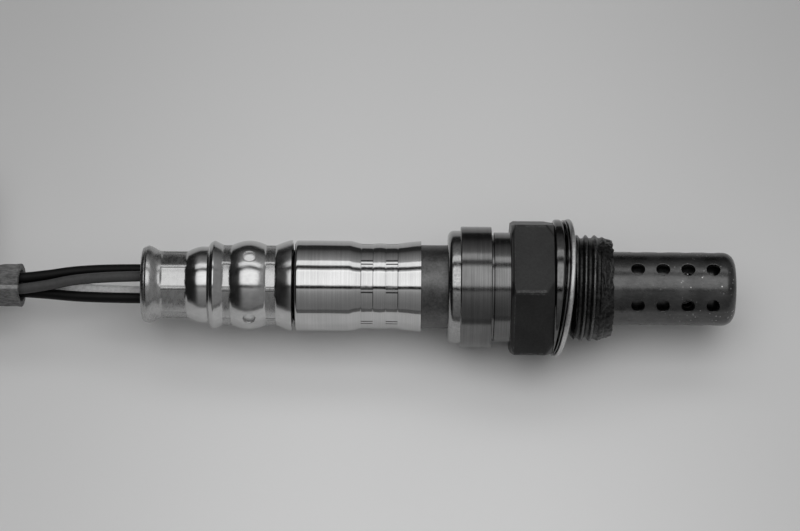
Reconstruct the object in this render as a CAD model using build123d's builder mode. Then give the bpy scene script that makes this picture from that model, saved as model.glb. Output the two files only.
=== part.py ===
from build123d import *
import os
from math import cos, hypot, pi, radians, sin, tan

# Heated four-wire exhaust oxygen sensor with a folded lead and its connector, in millimetres.
# The sensor lies with its axis level on one flat of its hexagon. +X runs along the thread's axis
# to the sensing tip, +Z is up, and the origin is on that axis where the open thread begins,
# in the plane of the free gasket's front.

os.makedirs("parts", exist_ok=True)

# ---------------------------------------------------------------- driving dimensions
# Shell, from the gasket's seat on the hexagon
gasket_room = 3.7            # seat to the first free thread turn
thread_radius = 9.0          # M18 x 1.5
thread_length = 4.2          # full turns
thread_lead_in = 2.0         # tapered turns at the end
thread_end_radius = 7.9
relief_radius = 7.9
hex_across_flats = 22.0
hex_length = 7.1
hex_front_bevel = 1.35
hex_front_face_radius = 11.65    # face out to its bevel, across the corners
hex_front_bevel_blend = 0.5
hex_rear_bevel = 0.7
hex_rear_face_radius = 11.58
neck_radius = 9.3
neck_length = 2.8
groove_radius = 8.9
groove_width = 0.4
collar_radius = 10.25
collar_length = 5.2
lip_radius = 9.55
lip_length = 2.2
lip_rounding = 1.5

# Crush gasket
gasket_strip = 0.4
gasket_layer_pitch = 0.45
gasket_cone_rise = 0.7           # front layer's inner edge ahead of its fold
gasket_inner_radius = 9.25
gasket_front_fold_radius = 11.2
gasket_rear_fold_proud = 0.4
gasket_lean_deg = 3.2
gasket_lean_toward_deg = 27.0    # from +Y towards +Z, the side that leans to the tip

# Cavities of the shell
main_bore_radius = 6.9
throat_radius = 4.35
protector_bore_depth = 5.0

# Stack inside the shell, from the ledge under the thimble's flange to the rear
front_packing_length = 0.5
thimble_flange_length = 2.0
thimble_flange_radius = 6.6
talc_length = 5.5
bush_length = 6.0
crimp_packing_length = 0.6
tube_flange_length = 0.5
tube_flange_radius = 8.6

# Thimble, heater and protectors
thimble_rear_radius = 4.0
thimble_front_radius = 3.6
thimble_tip_radius = 2.5
thimble_bore_radius = 1.75
thimble_tip_wall = 2.0
thimble_tail_length = 10.0   # behind the bush
thimble_nose_length = 24.5   # ahead of the ledge
heater_radius = 1.4
heater_tip_gap = 0.8
heater_tail_length = 10.0    # behind the thimble
protector_length = 21.1      # part of the outer protector that stands out of the shell
protector_radius = 6.2
protector_wall = 0.5
protector_rounding = 2.5
protector_hole_radius = 1.125
protector_hole_rings = 4
protector_hole_pitch = 4.22
protector_first_hole = 4.4   # from the shell's end to the first ring
protector_holes_round = 6
protector_hole_phase_deg = 24.0
inner_protector_radius = 4.6
inner_protector_wall = 0.4
inner_protector_tip_gap = 3.2
inner_hole_radius = 0.8
inner_tip_hole_radius = 1.2
inner_hole_stations = (4.5, 17.5)    # from the inner protector's flange

# Covers
tube_radius = 7.05
tube_wall = 0.5
tube_shown_length = 4.5
tube_step_radius = 6.7
tube_taper_rounding = 0.8
tube_taper_behind_edge = 0.5  # cover's front edge to the tube's taper
tube_taper_length = 3.4
tube_end_behind_edge = 11.3
cover_radius = 7.675
cover_wall = 0.45
cover_length = 21.3          # polished part
cover_edge_radius = 7.75
cover_neck_radius = 5.9
cover_grommet_gap = 0.9      # mid cover's rear edge to the grommet
cover_gap = 0.5
cover_crimp_radius = 7.18
cover_ridge_radius = 7.24
cover_waist_rear_side = 1.8      # slope from the full radius to the rear crimp
cover_waist_front_side = 2.3
cover_waist_front_radius = 7.6
cover_crimp_width = 2.0
cover_crimp_stations = (4.9, 9.1)    # crimp centres behind the cover's front edge
rear_edge_length = 2.7       # rear cover, from its front edge to its rim
front_crimp_length = 1.7
vent_bulge_front_side = 1.45
vent_bulge_length = 2.5
vent_bulge_rear_side = 1.95
neck_crimp_length = 1.3
bead_front_side = 0.8
bead_length = 0.9
bead_rear_side = 0.6
tail_bulge_length = 1.3
tail_bulge_rear_side = 2.6
tail_crimp_length = 4.2
rim_side = 2.0
rim_length = 1.4
rear_edge_radius = 7.725
rear_edge_flare = 0.8
vent_bulge_radius = 7.5
bead_radius = 7.5
inner_crimp_radius = 6.7
inner_ridge_radius = 6.8
tail_bulge_radius = 6.45
tail_crimp_radius = 5.5
tail_ridge_radius = 5.65
rim_radius = 6.5
rim_curl = 0.35
crimp_shoulder = 0.2
crimp_jaws = 8
crimp_phase_deg = 35.0
ridge_width = 0.6
vent_hole_radius = 1.05
vent_holes = 4
vent_hole_phase_deg = 75.5

# Pieces in the covers
filter_wall = 0.33
filter_length = 10.5
grommet_inset = 0.4          # rear face inside the rim
grommet_length = 10.6
holder_radius = 5.6
holder_length = 13.0
holder_heater_depth = 5.0
spring_length = 6.0
spring_wall = 0.3
spring_gap_deg = 30.0

# Contacts and wires
contact_circle_radius = 2.55
lead_phase_deg = -3.6
pin_radius = 0.5
pad_width = 0.8
contact_sleeve_wall = 0.33
signal_tube_wall = 0.27
barrel_radius = 1.2
barrel_length = 4.0
barrel_floor = 0.5
barrel_gap = 1.0             # grommet to the barrels
wire_barrel_gap = 0.5        # wire's end to the barrel's floor
arm_thickness = 0.8          # along the axis, from a pin to its tube
heater_pad_gap = 0.5
heater_pad_length = 3.0
signal_disc_gap = 0.6        # behind the thimble
signal_tube_overlap = 9.0    # into the thimble
ground_sleeve_gap = 0.6
ground_sleeve_overlap = 6.0  # over the thimble
wire_radius = 0.9
sleeve_radius = 3.6
sleeve_wall = 0.8
bundle_radius = 1.38
bundle_twist_deg = 75.6

# Connector and tie
housing_length = 30.0
housing_width = 18.0
housing_height = 13.0
housing_rounding = 1.2
housing_chamfer = 0.5
terminal_pitch = 4.2
seal_radius = 1.9
seal_length = 4.6
seal_inset = 0.3             # behind the housing's rear face, and to the terminal's barrel
cavity_width = 2.6
terminal_width = 2.2
terminal_bore_width = 1.2
terminal_length = 12.0
terminal_setback = 3.0       # terminal's mouth behind the housing's mouth
lock_length = 10.0
lock_thickness = 1.0
lock_setback = 0.5           # behind the terminals' mouths
latch_length = 17.0
latch_width = 6.0
latch_thickness = 1.5
latch_gap = 1.3
latch_catch_height = 0.8
terminal_corner = 0.2
tie_width = 3.2
tie_wall = 0.5
tie_play = 0.2
tie_mid_y = 3.9
tie_half_span = 3.85
tie_x = -169.5
tie_head_length = 4.4
tie_head_width = 4.0
tie_head_height = 2.4
tie_head_sunk = 0.2          # into the band

# Fits
cut_margin = 0.1             # a cutting solid past what it cuts
slip = 0.02                  # round pieces that fit in one another
free_play = 0.05             # flat pieces in their slots

# ---------------------------------------------------------------- stations along the axis
seat_x = -gasket_room
hex_rear_x = seat_x - hex_length
neck_rear_x = hex_rear_x - neck_length
collar_front_x = neck_rear_x - groove_width
collar_rear_x = collar_front_x - collar_length
shell_rear_x = collar_rear_x - lip_length
thread_taper_x = thread_length
shell_front_x = thread_taper_x + thread_lead_in
floor_z = -hex_across_flats / 2

ledge_x = seat_x
flange_front_x = ledge_x - front_packing_length
flange_rear_x = flange_front_x - thimble_flange_length
talc_rear_x = flange_rear_x - talc_length
bush_rear_x = talc_rear_x - bush_length
packing_rear_x = bush_rear_x - crimp_packing_length
tube_flange_rear_x = packing_rear_x - tube_flange_length
thimble_rear_x = bush_rear_x - thimble_tail_length
thimble_tip_x = ledge_x + thimble_nose_length
heater_rear_x = thimble_rear_x - heater_tail_length
protector_ledge_x = shell_front_x - protector_bore_depth
protector_rear_x = protector_ledge_x + inner_protector_wall
protector_tip_x = shell_front_x + protector_length

cover_front_x = shell_rear_x - tube_shown_length
cover_shoulder_x = cover_front_x - cover_length
tube_taper_front_x = cover_front_x - tube_taper_behind_edge
tube_taper_rear_x = tube_taper_front_x - tube_taper_length
tube_rear_x = cover_front_x - tube_end_behind_edge
rear_cover_front_x = cover_shoulder_x - cover_gap
front_crimp_front_x = rear_cover_front_x - rear_edge_length
front_crimp_rear_x = front_crimp_front_x - front_crimp_length
vent_bulge_front_x = front_crimp_rear_x - vent_bulge_front_side
vent_bulge_rear_x = vent_bulge_front_x - vent_bulge_length
vent_x = (vent_bulge_front_x + vent_bulge_rear_x) / 2
neck_crimp_front_x = vent_bulge_rear_x - vent_bulge_rear_side
neck_crimp_rear_x = neck_crimp_front_x - neck_crimp_length
bead_front_x = neck_crimp_rear_x - bead_front_side
bead_rear_x = bead_front_x - bead_length
tail_bulge_front_x = bead_rear_x - bead_rear_side
tail_bulge_rear_x = tail_bulge_front_x - tail_bulge_length
tail_crimp_front_x = tail_bulge_rear_x - tail_bulge_rear_side
tail_crimp_rear_x = tail_crimp_front_x - tail_crimp_length
rim_front_x = tail_crimp_rear_x - rim_side
rear_cover_rear_x = rim_front_x - rim_length
holder_rear_x = cover_shoulder_x + cover_wall
holder_front_x = holder_rear_x + holder_length
grommet_rear_x = rear_cover_rear_x + grommet_inset
grommet_front_x = grommet_rear_x + grommet_length
cover_rear_x = grommet_front_x + cover_grommet_gap
barrel_rear_x = grommet_front_x + barrel_gap
barrel_front_x = barrel_rear_x + barrel_length
wire_start_x = barrel_front_x - barrel_floor - wire_barrel_gap


# ---------------------------------------------------------------- shared forms
def turned_solid(stations):
    """Turn the area under a line of (x, radius, corner rounding) stations about the axis."""
    points = [(x, radius) for x, radius, _ in stations]
    roundings = [rounding for _, _, rounding in stations[1:-1]]
    closing = [(points[-1][0], 0), (points[0][0], 0)]
    if points[-1][1] > 0:
        closing.insert(0, points[-1])
    if points[0][1] > 0:
        closing.append(points[0])
    with BuildPart() as body:
        with BuildSketch(Plane.XY):
            with BuildLine():
                FilletPolyline(*points, radius=roundings)
                Polyline(*closing)
            make_face()
        revolve(axis=Axis.X)
    return body.part


def inset_stations(stations, inset):
    """Move a line of stations towards the axis by a wall, each corner along its own mitre."""
    moved = []
    for index, (x, radius, rounding) in enumerate(stations):
        before = stations[max(index - 1, 0)]
        after = stations[min(index + 1, len(stations) - 1)]
        first_normal = wall_normal(before, stations[index]) if index > 0 else None
        second_normal = wall_normal(stations[index], after) if index < len(stations) - 1 else None
        if first_normal is None or second_normal is None:
            normal_x, normal_r = first_normal or second_normal
            if radius > 0:
                moved.append((x, radius + inset / normal_r, 0))
            else:
                moved.append((x + inset * normal_x, 0, 0))
            continue
        scale = inset / (1 + first_normal[0] * second_normal[0] + first_normal[1] * second_normal[1])
        shift_x = (first_normal[0] + second_normal[0]) * scale
        shift_r = (first_normal[1] + second_normal[1]) * scale
        turn = first_normal[0] * second_normal[1] - first_normal[1] * second_normal[0]
        inner_rounding = rounding - inset if turn < 0 else rounding + inset
        moved.append((x + shift_x, radius + shift_r, max(inner_rounding, 0.05) if rounding > 0 else 0))
    return moved


def wall_normal(start, end):
    """Unit normal of one run of a profile, on the side of the axis."""
    run_x = end[0] - start[0]
    run_r = end[1] - start[1]
    run = hypot(run_x, run_r)
    return (run_r / run, -run_x / run)


def ring_solid(x_from, x_to, inner_radius, outer_radius):
    """Plain ring about the axis."""
    with BuildPart() as body:
        with BuildSketch(Plane.YZ.offset(x_from)):
            Circle(outer_radius)
            if inner_radius > 0:
                Circle(inner_radius, mode=Mode.SUBTRACT)
        extrude(amount=x_to - x_from)
    return body.part


def jaw_solid(x_from, x_to, radius, reach):
    """Sectors that a crimping tool's jaws press in, with a ridge between each two."""
    with BuildPart() as body:
        with BuildSketch(Plane.YZ.offset(x_from)):
            Circle(reach)
            Circle(radius, mode=Mode.SUBTRACT)
            with PolarLocations(reach / 2 + radius / 2, crimp_jaws, start_angle=crimp_phase_deg):
                Rectangle(2 * (reach - radius), ridge_width, mode=Mode.SUBTRACT)
        extrude(amount=x_to - x_from)
    return body.part


def sheet_cover(stations, wall, crimps):
    """Deep-drawn cover of even wall, with crimps as (x from, x to, radius) of the jaws' faces."""
    skin = turned_solid(stations)
    cavity = turned_solid(inset_stations(stations, wall))
    reach = max(radius for _, radius, _ in stations) + 1
    with BuildPart() as hollow:
        add(cavity)
        for x_from, x_to, radius in crimps:
            add(ring_solid(x_from - wall / 2, x_to + wall / 2, radius - wall, reach), mode=Mode.SUBTRACT)
    with BuildPart() as cover:
        add(skin)
        for x_from, x_to, radius in crimps:
            add(jaw_solid(x_from, x_to, radius, reach), mode=Mode.SUBTRACT)
        add(hollow.part, mode=Mode.SUBTRACT)
    return cover.part


def write(part, name):
    """Label a finished piece and write it as its own file."""
    part.label = name
    export_step(part, f"parts/{name}.step")


# ---------------------------------------------------------------- shell
with BuildPart() as hexagon:
    with BuildSketch(Plane.YZ.offset(hex_rear_x)):
        RegularPolygon(hex_across_flats / 2, 6, major_radius=False)
    extrude(amount=hex_length)
    hex_corner = hex_across_flats / 2 / cos(pi / 6)
    add(
        turned_solid([
            (hex_rear_x, hex_rear_face_radius, 0),
            (hex_rear_x + hex_rear_bevel, hex_corner + cut_margin, 0),
            (seat_x - hex_front_bevel, hex_corner + cut_margin, hex_front_bevel_blend),
            (seat_x, hex_front_face_radius, 0),
        ]),
        mode=Mode.INTERSECT,
    )

with BuildPart() as hex_shell:
    add(turned_solid([
        (shell_rear_x, tube_radius + 2 * slip, 0),
        (shell_rear_x, lip_radius, lip_rounding),
        (collar_rear_x, lip_radius, 0),
        (collar_rear_x, collar_radius, 0.15),
        (collar_front_x, collar_radius, 0.15),
        (collar_front_x, groove_radius, 0),
        (neck_rear_x, groove_radius, 0),
        (neck_rear_x, neck_radius, 0.1),
        (seat_x - 1, neck_radius, 0),
        (seat_x - 1, relief_radius, 0),
        (0, relief_radius, 0),
        (0, thread_radius, 0),
        (thread_taper_x, thread_radius, 0),
        (shell_front_x, thread_end_radius, 0),
    ]))
    add(hexagon.part)
    add(ring_solid(shell_rear_x - 1, packing_rear_x, 0, tube_radius + 2 * slip), mode=Mode.SUBTRACT)
    add(ring_solid(tube_flange_rear_x, packing_rear_x, 0, tube_flange_radius + 2 * slip), mode=Mode.SUBTRACT)
    add(ring_solid(packing_rear_x, ledge_x, 0, main_bore_radius), mode=Mode.SUBTRACT)
    add(ring_solid(ledge_x - 1, shell_front_x, 0, throat_radius), mode=Mode.SUBTRACT)
    add(ring_solid(protector_ledge_x, shell_front_x + 1, 0, protector_radius + slip), mode=Mode.SUBTRACT)
write(hex_shell.part, "hex_shell")

# The folded crush ring: two folds in one strip, its own axis leaning from the thread's
inner_line = gasket_inner_radius + gasket_strip / 2
front_fold_line = gasket_front_fold_radius - gasket_strip / 2
rear_fold_line = front_fold_line + gasket_rear_fold_proud
rear_layer = gasket_strip / 2
third_layer = rear_layer + gasket_layer_pitch
second_layer = third_layer + gasket_layer_pitch
front_layer = second_layer + gasket_layer_pitch
lean_axis = Vector(0, cos(radians(gasket_lean_toward_deg)), sin(radians(gasket_lean_toward_deg)))
lean_normal = Vector(cos(radians(gasket_lean_deg)), 0, 0) + lean_axis * -sin(radians(gasket_lean_deg))
lean_room = (rear_fold_line - gasket_layer_pitch / 2) * sin(radians(gasket_lean_deg)) + slip
with BuildPart() as gasket_flat:
    with BuildSketch(Plane.XY):
        with BuildLine() as strip:
            FilletPolyline(
                (front_layer + gasket_cone_rise, inner_line),
                (front_layer, front_fold_line),
                (second_layer, front_fold_line),
                (second_layer, inner_line),
                (third_layer, inner_line),
                (third_layer, rear_fold_line),
                (rear_layer, rear_fold_line),
                (rear_layer, inner_line),
                radius=gasket_layer_pitch / 2 - 0.01,
            )
        trace(strip.line, line_width=gasket_strip)
    revolve(axis=Axis.X)
gasket_seat = Plane(origin=(seat_x + lean_room, 0, 0), x_dir=(0, -lean_axis.Z, lean_axis.Y), z_dir=lean_normal)
gasket = gasket_seat.location * Rotation(0, -90, 0) * gasket_flat.part
write(gasket, "gasket")

# ---------------------------------------------------------------- protectors
with BuildPart() as outer_protector:
    add(turned_solid([
        (protector_rear_x, protector_radius, 0),
        (protector_tip_x, protector_radius, protector_rounding),
        (protector_tip_x, 0, 0),
    ]))
    add(
        turned_solid([
            (protector_rear_x, protector_radius - protector_wall, 0),
            (protector_tip_x - protector_wall, protector_radius - protector_wall,
             protector_rounding - protector_wall),
            (protector_tip_x - protector_wall, 0, 0),
        ]),
        mode=Mode.SUBTRACT,
    )
    for hole_ring in range(protector_hole_rings):
        ring_x = shell_front_x + protector_first_hole + hole_ring * protector_hole_pitch
        for pair in range(protector_holes_round // 2):
            turn = protector_hole_phase_deg + pair * 360 / protector_holes_round - 90
            with Locations(Location((ring_x, 0, 0), (turn, 0, 0))):
                Cylinder(protector_hole_radius, 3 * protector_radius, mode=Mode.SUBTRACT)
write(outer_protector.part, "outer_protector")

inner_protector_tip_x = thimble_tip_x + inner_protector_tip_gap + inner_protector_wall
with BuildPart() as inner_protector:
    add(turned_solid([
        (protector_ledge_x, protector_radius - slip, 0),
        (protector_rear_x, protector_radius - slip, 0),
        (protector_rear_x, inner_protector_radius, 0.4),
        (inner_protector_tip_x, inner_protector_radius, 1.2),
        (inner_protector_tip_x, 0, 0),
    ]))
    add(
        turned_solid([
            (protector_ledge_x, inner_protector_radius - inner_protector_wall, 0),
            (inner_protector_tip_x - inner_protector_wall, inner_protector_radius - inner_protector_wall, 0.8),
            (inner_protector_tip_x - inner_protector_wall, 0, 0),
        ]),
        mode=Mode.SUBTRACT,
    )
    add(ring_solid(protector_tip_x - 8, protector_tip_x, 0, inner_tip_hole_radius), mode=Mode.SUBTRACT)
    for station in inner_hole_stations:
        for pair in range(3):
            with Locations(Location((protector_rear_x + station, 0, 0), (60 * pair, 0, 0))):
                Cylinder(inner_hole_radius, 3 * inner_protector_radius, mode=Mode.SUBTRACT)
write(inner_protector.part, "inner_protector")

# ---------------------------------------------------------------- thimble, heater and seals
with BuildPart() as zirconia_element:
    add(turned_solid([
        (thimble_rear_x, thimble_rear_radius, 0),
        (flange_rear_x, thimble_rear_radius, 0),
        (flange_rear_x, thimble_flange_radius, 0.4),
        (flange_front_x, thimble_flange_radius, 0.3),
        (flange_front_x, thimble_front_radius, 0.5),
        (thimble_tip_x, thimble_tip_radius, thimble_tip_radius * 0.85),
        (thimble_tip_x, 0, 0),
    ]))
    add(
        turned_solid([
            (thimble_rear_x, thimble_bore_radius, 0),
            (thimble_tip_x - thimble_tip_wall, thimble_bore_radius, 1.2),
            (thimble_tip_x - thimble_tip_wall, 0, 0),
        ]),
        mode=Mode.SUBTRACT,
    )
write(zirconia_element.part, "zirconia_element")

heater_tip_x = thimble_tip_x - thimble_tip_wall - heater_tip_gap
heater_rod = turned_solid([
    (heater_rear_x, heater_radius, 0),
    (heater_tip_x, heater_radius, 0.4),
    (heater_tip_x, 0, 0),
])
write(heater_rod, "heater_rod")

front_packing = ring_solid(flange_front_x, ledge_x, throat_radius + 0.1, main_bore_radius - slip)
write(front_packing, "front_packing")

talc_ring = ring_solid(talc_rear_x, flange_rear_x, thimble_rear_radius + slip, main_bore_radius - slip)
write(talc_ring, "talc_ring")

ceramic_bush = ring_solid(bush_rear_x, talc_rear_x, thimble_rear_radius + free_play, main_bore_radius - free_play)
write(ceramic_bush, "ceramic_bush")

tube_inner_radius = tube_radius - tube_wall
crimp_packing = ring_solid(packing_rear_x, bush_rear_x, tube_inner_radius - 1, main_bore_radius - free_play)
write(crimp_packing, "crimp_packing")

# ---------------------------------------------------------------- tube and covers
with BuildPart() as inner_tube:
    tube_line = [
        (tube_rear_x, tube_step_radius, 0),
        (tube_taper_rear_x, tube_step_radius, tube_taper_rounding),
        (tube_taper_front_x, tube_radius, tube_taper_rounding),
        (packing_rear_x, tube_radius, 0),
    ]
    add(turned_solid(tube_line))
    add(ring_solid(tube_flange_rear_x, packing_rear_x, tube_inner_radius, tube_flange_radius))
    add(turned_solid(inset_stations(tube_line, tube_wall)), mode=Mode.SUBTRACT)
write(inner_tube.part, "inner_tube")

cover_crimps = []
for station in cover_crimp_stations:
    crimp_x = cover_front_x - station
    half_crimp = cover_crimp_width / 2
    cover_crimps.append((crimp_x - half_crimp, crimp_x + half_crimp, cover_crimp_radius))
cover_stations = [
    (cover_rear_x, cover_neck_radius, 0),
    (cover_shoulder_x, cover_neck_radius, 0.5),
    (cover_shoulder_x, cover_radius, 0.5),
]
rear_crimp_x = cover_crimps[-1][0]
front_crimp_x = cover_crimps[0][1]
cover_stations += [
    (rear_crimp_x - cover_waist_rear_side, cover_radius, 3.0),
    (rear_crimp_x, cover_ridge_radius, 1.0),
    (front_crimp_x, cover_ridge_radius, 1.0),
    (front_crimp_x + cover_waist_front_side, cover_waist_front_radius, 3.0),
    (cover_front_x, cover_edge_radius, 0),
]
mid_cover_sheet = sheet_cover(cover_stations, cover_wall, cover_crimps)


def vent_drill(reach):
    """Two crossed drills that make the ring of vent holes."""
    with BuildPart() as drill:
        for pair in range(vent_holes // 2):
            with Locations(Location((vent_x, 0, 0), (vent_hole_phase_deg - 90 + pair * 360 / vent_holes, 0, 0))):
                Cylinder(vent_hole_radius, 2 * reach)
    return drill.part


with BuildPart() as mid_cover:
    add(mid_cover_sheet)
    add(vent_drill(cover_neck_radius + 1), mode=Mode.SUBTRACT)
write(mid_cover.part, "mid_cover")

# Stations of the rear cover run from its rim to the edge over the mid cover
tail_crimp = (tail_crimp_rear_x, tail_crimp_front_x, tail_crimp_radius)
neck_crimp = (neck_crimp_rear_x, neck_crimp_front_x, inner_crimp_radius)
front_crimp = (front_crimp_rear_x, front_crimp_front_x, inner_crimp_radius)
rear_cover_stations = [
    (rear_cover_rear_x, rim_radius - rim_curl, 0),
    (rim_front_x, rim_radius, 1.5),
    (tail_crimp_rear_x - crimp_shoulder, tail_ridge_radius, 0.6),
    (tail_crimp_front_x + crimp_shoulder, tail_ridge_radius, 0.6),
    (tail_bulge_rear_x, tail_bulge_radius, 1.5),
    (tail_bulge_front_x, tail_bulge_radius, 0.3),
    (bead_rear_x, bead_radius, 0.35),
    (bead_front_x, bead_radius, 0.35),
    (neck_crimp_rear_x, inner_ridge_radius, 0.25),
    (neck_crimp_front_x, inner_ridge_radius, 0.4),
    (vent_bulge_rear_x, vent_bulge_radius, 1.4),
    (vent_bulge_front_x, vent_bulge_radius, 1.4),
    (front_crimp_rear_x, inner_ridge_radius, 0.4),
    (front_crimp_front_x, inner_ridge_radius, 0.6),
    (rear_cover_front_x - rear_edge_flare, rear_edge_radius - 0.1, 0.8),
    (rear_cover_front_x, rear_edge_radius, 0),
]
rear_cover_sheet = sheet_cover(rear_cover_stations, cover_wall, [tail_crimp, neck_crimp, front_crimp])
with BuildPart() as rear_cover:
    add(rear_cover_sheet)
    add(vent_drill(vent_bulge_radius + 1), mode=Mode.SUBTRACT)
write(rear_cover.part, "rear_cover")

filter_inner_radius = cover_neck_radius + slip
filter_sleeve = ring_solid(
    vent_x - filter_length / 2, vent_x + filter_length / 2, filter_inner_radius, filter_inner_radius + filter_wall
)
write(filter_sleeve, "filter_sleeve")


def around(radius, angle_deg):
    """Y and Z of a point round the axis, from +Y towards +Z."""
    return (radius * cos(radians(angle_deg)), radius * sin(radians(angle_deg)))


lead_angles = {
    "wire_black_rear": lead_phase_deg,
    "wire_grey": lead_phase_deg + 90,
    "wire_black_front": lead_phase_deg + 180,
    "wire_white": lead_phase_deg + 270,
}
contact_angles = {
    "signal_contact": lead_angles["wire_black_rear"],
    "ground_contact": lead_angles["wire_grey"],
    "heater_contact_1": lead_angles["wire_black_front"],
    "heater_contact_2": lead_angles["wire_white"],
}


def drill_leads(x_from, x_to, radius):
    """Four bores on the contacts' circle."""
    with BuildPart() as drill:
        with BuildSketch(Plane.YZ.offset(x_from)):
            with PolarLocations(contact_circle_radius, 4, start_angle=lead_phase_deg):
                Circle(radius)
        extrude(amount=x_to - x_from)
    return drill.part


# ---------------------------------------------------------------- grommet, holder and spring
grommet_line = inset_stations(rear_cover_stations, cover_wall + slip)
grommet_body = turned_solid(grommet_line)
with BuildPart() as grommet:
    add(grommet_body)
    add(
        ring_solid(tail_crimp[0] - cover_wall, tail_crimp[1] + cover_wall,
                   tail_crimp_radius - cover_wall - slip, rear_edge_radius),
        mode=Mode.SUBTRACT,
    )
    add(ring_solid(grommet_rear_x, grommet_front_x, 0, rear_edge_radius), mode=Mode.INTERSECT)
    add(drill_leads(grommet_rear_x - 1, grommet_front_x + 1, wire_radius + slip), mode=Mode.SUBTRACT)
write(grommet.part, "grommet")

with BuildPart() as contact_holder:
    add(turned_solid([
        (holder_rear_x, 0, 0),
        (holder_rear_x, holder_radius, 0.4),
        (holder_front_x, holder_radius, 0.4),
        (holder_front_x, 0, 0),
    ]))
    add(drill_leads(holder_rear_x - 1, holder_front_x + 1, pin_radius + free_play), mode=Mode.SUBTRACT)
    add(
        ring_solid(holder_front_x - holder_heater_depth, holder_front_x + 1, 0, heater_radius + free_play),
        mode=Mode.SUBTRACT,
    )
write(contact_holder.part, "contact_holder")

spring_mid_x = holder_rear_x + 1 + spring_length / 2
spring_inner_line = holder_radius + slip + spring_wall / 2
spring_outer_line = cover_radius - cover_wall - slip - spring_wall / 2
with BuildPart() as holder_spring:
    with BuildSketch(Plane.XY):
        with BuildLine() as bow:
            ThreePointArc(
                (spring_mid_x - spring_length / 2, spring_inner_line + 0.1),
                (spring_mid_x, spring_outer_line),
                (spring_mid_x + spring_length / 2, spring_inner_line + 0.1),
            )
        trace(bow.line, line_width=spring_wall)
    revolve(axis=Axis.X, revolution_arc=360 - spring_gap_deg)
write(holder_spring.part, "holder_spring")

# ---------------------------------------------------------------- contacts
# Each has a crimped barrel for its wire, a pin through the holder and its own working end
heater_pad_from = holder_front_x + heater_pad_gap
heater_pad_to = heater_pad_from + heater_pad_length
signal_disc_to = thimble_rear_x - signal_disc_gap
signal_disc_from = signal_disc_to - arm_thickness
signal_tube_to = thimble_rear_x + signal_tube_overlap
ground_arm_to = thimble_rear_x - ground_sleeve_gap
ground_sleeve_from = ground_arm_to - arm_thickness
ground_sleeve_to = thimble_rear_x + ground_sleeve_overlap
ground_inner = thimble_rear_radius + slip


def contact_blank(angle_deg, pin_to):
    """Barrel and pin of one contact."""
    y, z = around(contact_circle_radius, angle_deg)
    with BuildPart() as blank:
        with BuildSketch(Plane(origin=(barrel_rear_x, y, z), z_dir=(1, 0, 0))):
            Circle(barrel_radius)
        extrude(amount=barrel_length)
        with BuildSketch(Plane(origin=(barrel_rear_x, y, z), z_dir=(1, 0, 0))):
            Circle(wire_radius + slip)
        extrude(amount=barrel_length - barrel_floor, mode=Mode.SUBTRACT)
        with BuildSketch(Plane(origin=(barrel_front_x, y, z), z_dir=(1, 0, 0))):
            Circle(pin_radius)
        extrude(amount=pin_to - barrel_front_x)
    return blank.part


def radial_bar(x_from, x_to, radius_from, radius_to, angle_deg):
    """Flat strip that stands on one radius."""
    with BuildPart() as bar:
        with BuildSketch(Plane.YZ.offset(x_from)):
            with PolarLocations((radius_from + radius_to) / 2, 1, start_angle=angle_deg):
                Rectangle(radius_to - radius_from, pad_width)
        extrude(amount=x_to - x_from)
    return bar.part


signal_angle = contact_angles["signal_contact"]
signal_inner = heater_radius + slip
with BuildPart() as signal_contact:
    add(contact_blank(signal_angle, signal_disc_to))
    add(radial_bar(signal_disc_from, signal_disc_to, signal_inner + cut_margin, contact_circle_radius, signal_angle))
    add(ring_solid(signal_disc_from, signal_tube_to, signal_inner, signal_inner + signal_tube_wall))
write(signal_contact.part, "signal_contact")

ground_angle = contact_angles["ground_contact"]
with BuildPart() as ground_contact:
    add(contact_blank(ground_angle, ground_arm_to))
    add(radial_bar(ground_sleeve_from, ground_arm_to, contact_circle_radius, ground_inner + cut_margin,
                   ground_angle))
    add(ring_solid(ground_sleeve_from, ground_sleeve_to, ground_inner, ground_inner + contact_sleeve_wall))
write(ground_contact.part, "ground_contact")

for name in ("heater_contact_1", "heater_contact_2"):
    with BuildPart() as heater_contact:
        add(contact_blank(contact_angles[name], heater_pad_to))
        add(radial_bar(heater_pad_from, heater_pad_to, heater_radius + slip, contact_circle_radius,
                       contact_angles[name]))
    write(heater_contact.part, name)

# ---------------------------------------------------------------- route of the lead
# Hand-placed points of the sleeve's middle line, from its cut end to its far end: down to the surface,
# out along the sensor's line, round a loop and back beside itself
lay_z = floor_z + sleeve_radius
tie_z = lay_z + tie_wall + tie_play
sleeve_route = [
    (-92.8, 0.0, -0.8),
    (-109.5, 0.6, -2.2),
    (-131.5, -0.4, -5.4),
    (-153.5, 0.2, tie_z),
    (-179.5, 0.0, tie_z),
    (-203.7, -20.3, lay_z),
    (-220.2, -21.1, lay_z),
    (-233.8, -11.8, lay_z),
    (-239.1, 3.8, lay_z),
    (-233.8, 19.5, lay_z),
    (-220.2, 28.8, lay_z),
    (-203.7, 27.9, lay_z),
    (-179.5, 7.7, tie_z),
    (-161.5, 7.8, tie_z),
    (-151.8, 10.4, lay_z),
]
exit_bend_x = -79.8          # where a wire leaves the grommet's line
fan_bend_x = -139.5          # where a wire meets the connector's line
wire_end_x = -127.0
housing_rear_x = -133.5
housing_y = 14.5


def corner_radii(points):
    """Radius of each corner's arc: as large as its two runs allow."""
    corners = [Vector(*point) for point in points]
    radii = []
    for before, corner, after in zip(corners, corners[1:], corners[2:]):
        run_in = corner - before
        run_out = after - corner
        half_turn = radians(run_in.get_angle(run_out)) / 2
        radii.append(0.45 * min(run_in.length, run_out.length) / tan(half_turn))
    return radii


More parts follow.
